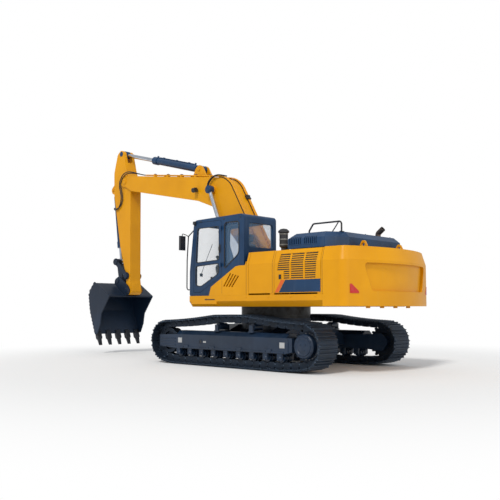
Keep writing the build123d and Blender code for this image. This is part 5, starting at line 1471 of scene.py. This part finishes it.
@dataclass
class CabDetails:
    """Seals, handle, lamps, wiper, seat and monitor of the cab."""

    shop: Workshop
    side_y: float = 1.450
    middle_y: float = 0.946
    upper_pane: tuple[Place, ...] = ((1.085, 2.235), (1.040, 2.995), (0.352, 2.995), (0.352, 2.270))
    lower_pane: tuple[Place, ...] = (
        (1.090, 1.740), (1.090, 2.155), (0.352, 2.195), (0.352, 1.985), (0.920, 1.710))
    rear_pane: tuple[Place, ...] = ((0.183, 3.060), (-0.250, 3.060), (-0.250, 2.385), (0.183, 2.065))
    door_edge: tuple[Place, ...] = (
        (1.154, 1.581), (1.154, 2.080), (1.084, 3.124), (0.278, 3.124), (0.278, 1.928), (0.933, 1.581))
    roof_studs: tuple[Place, ...] = ((0.93, 3.165), (0.20, 3.168), (-0.29, 3.168))
    stud: tuple[Place, ...] = ((0.0, 0.012), (0.012, 0.010), (0.018, 0.0))
    seat_folds: int = 7
    seat_foot: float = 1.570
    fold_pitch: float = 0.042

    def build(self) -> None:
        """Makes the cab's fine pieces."""
        self._seals()
        self._handles()
        self._lamps()
        self._wiper()
        self._seat()
        self._inside()

    def _seal(self, piece: Piece, outline: Sequence[Place], y: float, radius: float, corner: float) -> None:
        """Adds a seal round a pane, with its corners cut across.

        Args:
            piece: the piece it goes into.
            outline: the pane's corners in the side view.
            y: the place of its middle along Y.
            radius: the seal's radius.
            corner: how far from a corner the cut begins.
        """
        route = []
        for index, place in enumerate(outline):
            for other in (outline[index - 1], outline[(index + 1) % len(outline)]):
                route.append(at_y(go(place, unit(place, other)[0], corner), y))
        route.append(route[0])
        piece.tube(route, radius, 8, 2)

    def _seals(self) -> None:
        """Makes the seals of the door's two panes, of the rear side pane and round the door."""
        door = Piece("door_seals", Body.CAB_DOOR.value, Extra.HOSE.value)
        for outline in (self.upper_pane, self.lower_pane):
            self._seal(door, outline, self.side_y, 0.008, 0.035)
        self.shop.deliver(door)
        fixed = Piece("window_seals", Body.UPPER.value, Extra.HOSE.value)
        self._seal(fixed, self.rear_pane, self.side_y, 0.012, 0.045)
        self._seal(fixed, self.door_edge, self.side_y - 0.006, 0.003, 0.04)
        self.shop.deliver(fixed)

    def _handles(self) -> None:
        """Makes the door's handle."""
        handle = Piece("door_handle", Body.CAB_DOOR.value, Slot.PLASTIC.value)
        handle.block((0.302, 1.450, 2.42), (0.346, 1.458, 2.60), 0.004)
        handle.tube([(0.324, 1.452, 2.445), (0.324, 1.488, 2.455), (0.324, 1.488, 2.565),
                     (0.324, 1.452, 2.575)], 0.008)
        self.shop.deliver(handle)

    def _lamps(self) -> None:
        """Makes the lamp on the cab's front corner, its lens and the studs under the roof's edge."""
        box = Piece("cab_corner_lamp", Body.UPPER.value, Slot.PLASTIC.value)
        box.block((1.075, 1.452, 3.085), (1.150, 1.500, 3.160), 0.010)
        box.block((1.095, 1.440, 3.060), (1.115, 1.470, 3.090), 0.003)
        for x, z in self.roof_studs:
            box.lathe(self.stud, (x, self.side_y, z - 0.025), (0, 1, 0), 16)
        self.shop.deliver(box)
        lens = Piece("cab_lamp_lens", Body.UPPER.value, Extra.LENS.value)
        lens.block((1.149, 1.458, 3.092), (1.153, 1.494, 3.153), 0.001)
        self.shop.deliver(lens)

    def _wiper(self) -> None:
        """Makes the front window's wiper."""
        wiper = Piece("cab_wiper", Body.UPPER.value, Slot.PLASTIC.value)
        wiper.tube([(1.292, 1.10, 2.00), (1.270, 0.96, 2.35), (1.225, 0.82, 2.70)], 0.006)
        wiper.block((1.280, 1.06, 1.95), (1.300, 1.14, 2.02), 0.004)
        self.shop.deliver(wiper)

    def _seat(self) -> None:
        """Makes the seat's cushions, and under them its folded foot, pan and headrest stay."""
        y = self.middle_y
        cushion = Piece("seat_cushion", Body.UPPER.value, Slot.SEAT.value, 60.0, ("operator_seat",))
        cushion.pad((0.290, y, 1.935), (0.530, 0.480, 0.135), math.radians(-3), (-0.45, 0.35))
        cushion.pad((-0.005, y, 2.290), (0.700, 0.460, 0.115), math.radians(81.5), (-0.5, -0.05, 0.4))
        cushion.pad((-0.055, y, 2.752), (0.170, 0.250, 0.090), math.radians(84))
        made = self.shop.deliver(cushion)
        base = Piece("seat_base", Body.UPPER.value, Slot.PLASTIC.value)
        for index in range(self.seat_folds):
            low = self.seat_foot + index * self.fold_pitch
            inset = 0.018 * (index % 2)
            high = low + 0.041
            base.block((0.07 + inset, y - 0.18 + inset, low), (0.41 - inset, y + 0.18 - inset, high), 0.006)
        base.block((0.03, y - 0.225, 1.862), (0.53, y + 0.225, 1.885), 0.008)
        base.block((-0.072, y - 0.05, 2.60), (-0.044, y + 0.05, 2.71), 0.006)
        self.shop.deliver(base)

    def _inside(self) -> None:
        """Makes the monitor on its stalk."""
        screen = Piece("cab_monitor", Body.UPPER.value, Slot.PLASTIC.value)
        screen.block((0.86, 0.60, 2.12), (0.90, 0.80, 2.26), 0.008)
        screen.tube([(0.88, 0.66, 1.57), (0.89, 0.68, 1.85), (0.88, 0.70, 2.12)], 0.012)
        self.shop.deliver(screen)


@dataclass
class BoomDetails:
    """Painted-shade strips under the boom's oil lines, clamps, pin caps, cylinder lines, lamp face and hoses
    of the working end.
    """

    shop: Workshop
    foot: Place = (0.820, 3.450)
    knee: Place = (1.348, 4.357)
    nose: Place = (5.430, 4.922)
    knee_radius: float = 0.620
    knee_steps: int = 8
    line_rows: tuple[Place, ...] = ((0.141, 0.219), (-0.219, -0.141))
    clamps: int = 5
    clamp_first: float = 0.64
    clamp_pitch: float = 0.544
    tip: Place = (5.45, 4.77)
    lift_pin: Place = (1.850, 4.107)
    crowd_base: Place = (2.47, 4.725)
    crowd_eye: Place = (5.670, 5.585)
    rocker_pin: Place = (5.317, 2.123)
    bucket_pin: Place = (5.237, 1.723)
    tip_cap: tuple[Place, ...] = ((0.0, 0.024), (0.06, 0.024), (0.078, 0.016), (0.080, 0.0))
    pin_cap: tuple[Place, ...] = ((0.0, 0.018), (0.052, 0.018), (0.066, 0.012), (0.070, 0.002))
    sleeve: tuple[Place, ...] = ((0.0985, 0.002), (0.0985, -0.119), (0.070, -0.119))
    wide_cap: tuple[Place, ...] = ((0.0, 0.012), (0.060, 0.012), (0.076, 0.006), (0.078, -0.020))
    eye: tuple[Place, ...] = (
        (0.050, -0.074), (0.1005, -0.074), (0.1005, 0.074), (0.050, 0.074), (0.050, -0.074))
    back_clamps: tuple[Place, ...] = ((0.445, 0.066), (0.521, 0.066), (0.483, 0.058))
    oil_line: tuple[Place, ...] = (
        (0.32, 0.08), (0.34, 0.100), (0.45, 0.103), (1.70, 0.103), (1.80, 0.100), (1.86, 0.08))
    oil_line_clamps: tuple[float, ...] = (0.55, 1.05, 1.60)
    ports: Place = (0.30, 1.86)
    lamp: tuple[Place, ...] = ((0.0, 0.010), (0.030, 0.008), (0.050, 0.002), (0.052, 0.0))
    hose: float = 0.014

    def build(self) -> None:
        """Makes the fine pieces of boom, arm and cylinders."""
        self._keepers()
        self._line_shade_strips()
        self._cylinder_lines()
        self._lamp()
        self._hoses()
        self._ports()

    def _edge(self, height: float) -> list[Place]:
        """The line a height above the boom's back, from below its foot to the end of its round knee.

        Args:
            height: how far it stands out.

        Returns:
            Its places, from the foot up.
        """
        rise, run = unit(self.foot, self.knee)[0], unit(self.knee, self.nose)[0]
        turn = math.atan2(rise[1], rise[0]) - math.atan2(run[1], run[0])
        begin = go(self.knee, rise, -self.knee_radius * math.tan(turn / 2))
        out = left_of(rise)
        centre = go(begin, out, -self.knee_radius)
        places = [go(place, out, height) for place in (go(self.foot, rise, -0.30), self.foot, begin)]
        for step in range(1, self.knee_steps + 1):
            angle = math.atan2(out[1], out[0]) - turn * step / self.knee_steps
            places.append(around(centre, self.knee_radius + height, angle))
        return places

    @staticmethod
    def _clamp(
        piece: Piece, middle: Place, way: Place, half: float, heights: Place, across: Place, bevel: float,
        bolt_y: float,
    ) -> None:
        """Adds a plate that stands out from the boom's back, with a bolt on it.

        Args:
            piece: the piece it goes into.
            middle: its middle on the back.
            way: the back's direction there.
            half: half its length along the back.
            heights: how far out it begins and ends.
            across: its two ends along Y.
            bevel: its bevel's width.
            bolt_y: the bolt's place along Y.
        """
        out = left_of(way)
        low, high = heights
        outline = [go(go(middle, way, along), out, height)
                   for along, height in ((-half, low), (half, low), (half, high), (-half, high))]
        piece.prism(outline, Axis.Y, *across, bevel)
        piece.bolt(at_y(go(middle, out, high), bolt_y), (out[0], 0, out[1]), 0.010)

    def _line_shade_strips(self) -> None:
        """Makes the dark strips under the oil lines on the boom's back, which are painted shade between and
        under the lines, and the plates over their clamps.
        """
        rise, run = unit(self.foot, self.knee)[0], unit(self.knee, self.nose)[0]
        shade_strip = Piece("boom_line_shade_strips", Body.BOOM.value, Slot.PLASTIC.value)
        plates = Piece("boom_line_clamps", Body.BOOM.value, Slot.DARK.value)
        for across in self.line_rows:
            # Painted shade: a dark strip under each row of oil lines stands in for the shade between and
            # under the lines.
            shade_strip.prism(self._edge(0.001) + self._edge(0.014)[::-1], Axis.Y, *across, 0.0)
            for index in range(self.clamps):
                middle = go(self.knee, run, self.clamp_first + self.clamp_pitch * index)
                self._clamp(plates, middle, run, 0.024, (0.056, 0.068), across, 0.002, sum(across) / 2)
        bracket = Piece("boom_back_clamp", Body.BOOM.value, Slot.PLASTIC.value)
        for along, top in self.back_clamps:
            middle = go(self.foot, rise, along)
            self._clamp(bracket, middle, rise, 0.020, (0.010, top), (-0.232, -0.100), 0.003, -0.118)
        for piece in (shade_strip, plates, bracket):
            self.shop.deliver(piece)

    def _keepers(self) -> None:
        """Makes the pins' caps at the boom's tip, the rods and the bucket, and the arm cylinder's rod eye."""
        tips = Piece("boom_tip_caps", Body.BOOM.value, Slot.YELLOW.value)
        for side in (1, -1):
            out = (0, side, 0)
            tips.lathe(self.tip_cap, at_y(self.tip, side * 0.225), out, 32)
            tips.bolt_circle(at_y(self.tip, side * 0.249), out, 0.045, (0.6, 2.7), 0.011)
        self.shop.deliver(tips)
        lift = Piece("lift_rod_caps", Body.RODS.value, Slot.DARK.value)
        crowd = Piece("crowd_rod_caps", Body.ARM.value, Slot.DARK.value)
        ends = Piece("bucket_pin_caps", Body.ARM.value, Slot.BUCKET.value)
        for side in (1, -1):
            out = (0, side, 0)
            lift.lathe(self.pin_cap + self.sleeve, at_y(self.lift_pin, side * 0.390), out, 32)
            lift.bolt_circle(at_y(self.lift_pin, side * 0.408), out, 0.034, (0.9, 3.4), 0.010)
            crowd.lathe(self.pin_cap, at_y(self.crowd_eye, side * 0.176), out, 32)
            ends.lathe(self.wide_cap, at_y(self.rocker_pin, side * 0.246), out, 32)
            ends.lathe(self.wide_cap, at_y(self.bucket_pin, side * 0.251), out, 32)
            for pin, y in ((self.rocker_pin, 0.258), (self.bucket_pin, 0.263)):
                ends.bolt((pin[0] + 0.030, side * y, pin[1]), out, 0.012)
        eye = Piece("crowd_rod_eye", Body.CROWD_ROD.value, Slot.DARK.value)
        eye.lathe(self.eye, at_y(self.crowd_eye, 0.0), (0, 1, 0), 32)
        eye.rod((5.581, 0.0, 5.561), (5.549, 0.0, 5.5525), 0.072, 24, 0.004)
        for piece in (lift, crowd, ends, eye):
            self.shop.deliver(piece)

    def _over_crowd(self, along: float, height: float) -> Point:
        """The place so far along the arm cylinder's line and above it.

        Args:
            along: the distance from the cylinder's base pin.
            height: the distance above the line.

        Returns:
            The place.
        """
        way = unit(self.crowd_base, self.crowd_eye)[0]
        return at_y(go(go(self.crowd_base, way, along), left_of(way), height), 0.0)

    def _cylinder_lines(self) -> None:
        """Makes the oil line along the arm cylinder, with its clamps."""
        line = Piece("arm_cylinder_line", Body.CROWD_BARREL.value, Slot.DARK.value)
        line.tube([self._over_crowd(*place) for place in self.oil_line], 0.016)
        for along in self.oil_line_clamps:
            a, b = self._over_crowd(along - 0.02, 0.080), self._over_crowd(along + 0.02, 0.124)
            low, high = (min(a[0], b[0]), -0.03, min(a[2], b[2])), (max(a[0], b[0]), 0.03, max(a[2], b[2]))
            line.block(low, high, 0.004)
        self.shop.deliver(line)

    def _lamp(self) -> None:
        """Makes the boom lamp's lens on the front of its box."""
        lens = Piece("boom_lamp_lens", Body.BOOM.value, Extra.LENS.value)
        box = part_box("boom_lamp")
        x, z = box[1][0], (box[0][2] + box[1][2]) / 2
        lens.lathe(self.lamp, (x, 0.320, z), (1, 0, 0), 28)
        self.shop.deliver(lens)

    def _hoses(self) -> None:
        """Makes the two hoses that bend from boom to arm, and the two at the boom's knee."""
        for name, shift in (("outer", 0.0), ("inner", 0.034)):
            hose = Piece(f"arm_hose_{name}", Body.BOOM.value, Extra.HOSE.value)
            hose.tube([
                (4.500, 0.160 + 1.18 * shift, 4.828), (4.600, 0.162 + 1.18 * shift, 4.842),
                (4.800, 0.190 + shift / 2, 4.900), (5.060, 0.246 + shift, 4.950 + shift),
                (5.300, 0.250 + shift, 4.975 + shift), (5.500, 0.244 + shift, 4.900 + shift),
                (5.640 + shift, 0.236 + shift / 2, 4.690), (5.530 + shift, 0.212 + shift / 2, 4.360),
                (5.600 + shift, 0.206 + shift / 2, 4.110), (5.780, 0.204 + shift / 2, 4.030 - shift),
                (5.930, 0.198, 4.040 - shift), (6.010, 0.150, 4.080 - shift),
            ], self.hose)
            self.shop.deliver(hose, (Body.ARM.value, (5.30, 0.25, 4.97), (5.62, 0.22, 4.60)))
        knee = Piece("boom_hoses", Body.BOOM.value, Extra.HOSE.value)
        for shift in (0.0, 0.036):
            knee.tube([
                (1.960, 0.262 + shift, 4.130), (1.985, 0.266 + shift, 4.230), (1.880, 0.262 + shift, 4.380),
                (1.690, 0.256 + shift, 4.455), (1.520, 0.230 + shift, 4.440), (1.400, 0.185, 4.400),
            ], self.hose)
        self.shop.deliver(knee)

    def _ports(self) -> None:
        """Makes the arm cylinder's two oil ports."""
        ports = Piece("crowd_cylinder_ports", Body.CROWD_BARREL.value, Slot.DARK.value)
        for along in self.ports:
            ports.rod(self._over_crowd(along, 0.085), self._over_crowd(along, 0.140), 0.026, 12, 0.003)
        self.shop.deliver(ports)


@dataclass
class BucketDetails:
    """Wear pieces of the bucket; the edge's places are from its pin."""

    shop: Workshop
    pin: Place = (5.237, 1.723)
    edge: tuple[Place, ...] = ((0.790, 0.262), (1.085, -0.060), (1.000, -0.560), (0.745, -1.200))
    lugs: tuple[int, ...] = (3, 5, 6)
    lug_y: Place = (0.705, 0.752)
    strips: tuple[float, ...] = (-0.45, -0.15, 0.15, 0.45)
    strip_half: float = 0.045

    def _wear(
        self, piece: Piece, start: Place, way: Place, corners_of: Sequence[Place], low: float, high: float,
        bevel: float,
    ) -> None:
        """Adds a wear piece that lies on the bucket's edge line.

        Args:
            piece: the piece it goes into.
            start: its place on the edge line.
            way: the line's direction there.
            corners_of: its corners, along the line and out from it.
            low, high: its two ends along Y.
            bevel: its bevel's width.
        """
        outline = [go(go(start, way, along), left_of(way), out) for along, out in corners_of]
        piece.prism([(self.pin[0] + x, self.pin[1] + z) for x, z in outline], Axis.Y, low, high, bevel)

    def build(self) -> None:
        """Makes the bucket's edge lugs and back strips."""
        lugs = Piece("bucket_edge_lugs", Body.BUCKET.value, Slot.BUCKET.value)
        for a, b, count in zip(self.edge, self.edge[1:], self.lugs):
            way, length = unit(a, b)
            half = length / count * 0.32
            for index in range(count):
                middle = go(a, way, length * (index + 0.62) / (count + 0.3))
                shape = ((-half, -0.030), (half, -0.030), (0.8 * half, 0.016), (-0.8 * half, 0.016))
                for side in (1, -1):
                    low, high = sorted(side * y for y in self.lug_y)
                    self._wear(lugs, middle, way, shape, low, high, 0.006)
        self.shop.deliver(lugs)
        strips = Piece("bucket_back_strips", Body.BUCKET.value, Slot.BUCKET.value)
        way, length = unit(self.edge[2], self.edge[3])
        shape = ((0.08, -0.006), (length - 0.12, -0.006), (length - 0.16, 0.014), (0.12, 0.014))
        for y in self.strips:
            self._wear(strips, self.edge[2], way, shape, y - self.strip_half, y + self.strip_half, 0.004)
        self.shop.deliver(strips)


@dataclass
class Studio:
    """Floor, world, lamps and camera."""

    place: Point = (-10.4358, 11.8340, 1.2419)
    yaw: float = -46.81
    pitch: float = 4.5
    focal: float = 698.5
    centre: Place = (254.27, 252.92)
    pixels: int = 500
    sensor: float = 36.0
    floor: float = 400.0
    floor_fade: Place = (5.0, 11.0)
    sky: Colour = (0.93, 0.96, 1.0)
    sky_strength: float = 0.62
    sun: Colour = (1.0, 0.98, 0.94)
    suns: tuple[tuple[str, Point, float, float], ...] = (
        ("key_sun", (0.25, -0.85, -0.95), 2.0, 12.0), ("fill_sun", (0.9, -0.15, -0.4), 0.75, 40.0))

    def build(self) -> None:
        """Makes everything round the object."""
        self._floor()
        self._world()
        self._lamps()
        self._camera()
        bpy.context.scene.view_settings.view_transform = "Standard"

    def _floor(self) -> None:
        """Makes the floor: pale grey near the object, white further out."""
        bm = bmesh.new()
        bmesh.ops.create_grid(bm, x_segments=8, y_segments=8, size=self.floor)
        mesh = bpy.data.meshes.new("studio_floor")
        bm.to_mesh(mesh)
        bm.free()
        floor = bpy.data.objects.new("studio_floor", mesh)
        bpy.context.scene.collection.objects.link(floor)
        g = Graph("studio_floor")
        shader = g.node("ShaderNodeBsdfPrincipled", {"Base Color": srgb(226, 226, 226), "Roughness": 0.9})
        white = g.node("ShaderNodeEmission", {"Color": WHITE, "Strength": 1.0})
        distance = g.node("ShaderNodeVectorMath", {0: g.place()}, out="Value", operation="LENGTH")
        mixed = g.node("ShaderNodeMixShader", {0: distance.over(*self.floor_fade), 1: shader, 2: white})
        g.tree.links.new(mixed.socket, g.output.inputs["Surface"])
        mesh.materials.append(g.material)

    def _world(self) -> None:
        """Makes the world: a pale light, which the camera itself sees as white."""
        world = bpy.data.worlds.new("studio_world")
        world.use_nodes = True
        tree = world.node_tree
        tree.nodes.clear()
        output = tree.nodes.new("ShaderNodeOutputWorld")
        path = tree.nodes.new("ShaderNodeLightPath")
        mix = tree.nodes.new("ShaderNodeMixShader")
        tree.links.new(path.outputs["Is Camera Ray"], mix.inputs[0])
        for slot, colour, strength in ((1, self.sky, self.sky_strength), (2, WHITE, 1.0)):
            shade = tree.nodes.new("ShaderNodeBackground")
            shade.inputs["Color"].default_value = (*colour, 1.0)
            shade.inputs["Strength"].default_value = strength
            tree.links.new(shade.outputs[0], mix.inputs[slot])
        tree.links.new(mix.outputs[0], output.inputs["Surface"])
        bpy.context.scene.world = world

    def _lamps(self) -> None:
        """Makes the key sun and the fill sun."""
        for name, way, strength, spread in self.suns:
            lamp = bpy.data.lights.new(name, "SUN")
            lamp.energy = strength
            lamp.angle = math.radians(spread)
            lamp.color = self.sun
            holder = bpy.data.objects.new(name, lamp)
            holder.rotation_mode = "QUATERNION"
            holder.rotation_quaternion = Vector(way).to_track_quat("-Z", "Y")
            bpy.context.scene.collection.objects.link(holder)

    def _camera(self) -> None:
        """Makes the camera that stands where the photo's stood."""
        yaw, pitch = math.radians(self.yaw), math.radians(self.pitch)
        way = Vector((math.cos(pitch) * math.cos(yaw), math.cos(pitch) * math.sin(yaw), math.sin(pitch)))
        data = bpy.data.cameras.new("photo_camera")
        data.sensor_width = self.sensor
        data.lens = self.focal / self.pixels * self.sensor
        data.shift_x = (self.pixels / 2 - self.centre[0]) / self.pixels
        data.shift_y = (self.centre[1] - self.pixels / 2) / self.pixels
        data.clip_end = 500.0
        camera = bpy.data.objects.new("photo_camera", data)
        camera.rotation_mode = "QUATERNION"
        camera.location = self.place
        camera.rotation_quaternion = way.to_track_quat("-Z", "Y")
        bpy.context.scene.collection.objects.link(camera)
        bpy.context.scene.camera = camera


def main() -> None:
    """Builds the whole scene."""
    logging.basicConfig(level=logging.INFO, format="%(message)s")
    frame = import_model()
    shop = Workshop(frame)
    shop.dress_nodes({"boom_lines": Extra.LINE.value, "cab_door_glass": Extra.DOOR_GLASS.value})
    chain = Chain()
    chain.dress(shop, 1)
    chain.dress(shop, -1)
    makers: list[Callable[[], None]] = [
        UnderDetails(shop).build, BodyDetails(shop).build, CabDetails(shop).build, BoomDetails(shop).build,
        BucketDetails(shop).build, Studio().build,
    ]
    for make in makers:
        make()
    LOG.info("made %d pieces", shop.count)


if __name__ == "__main__":
    main()
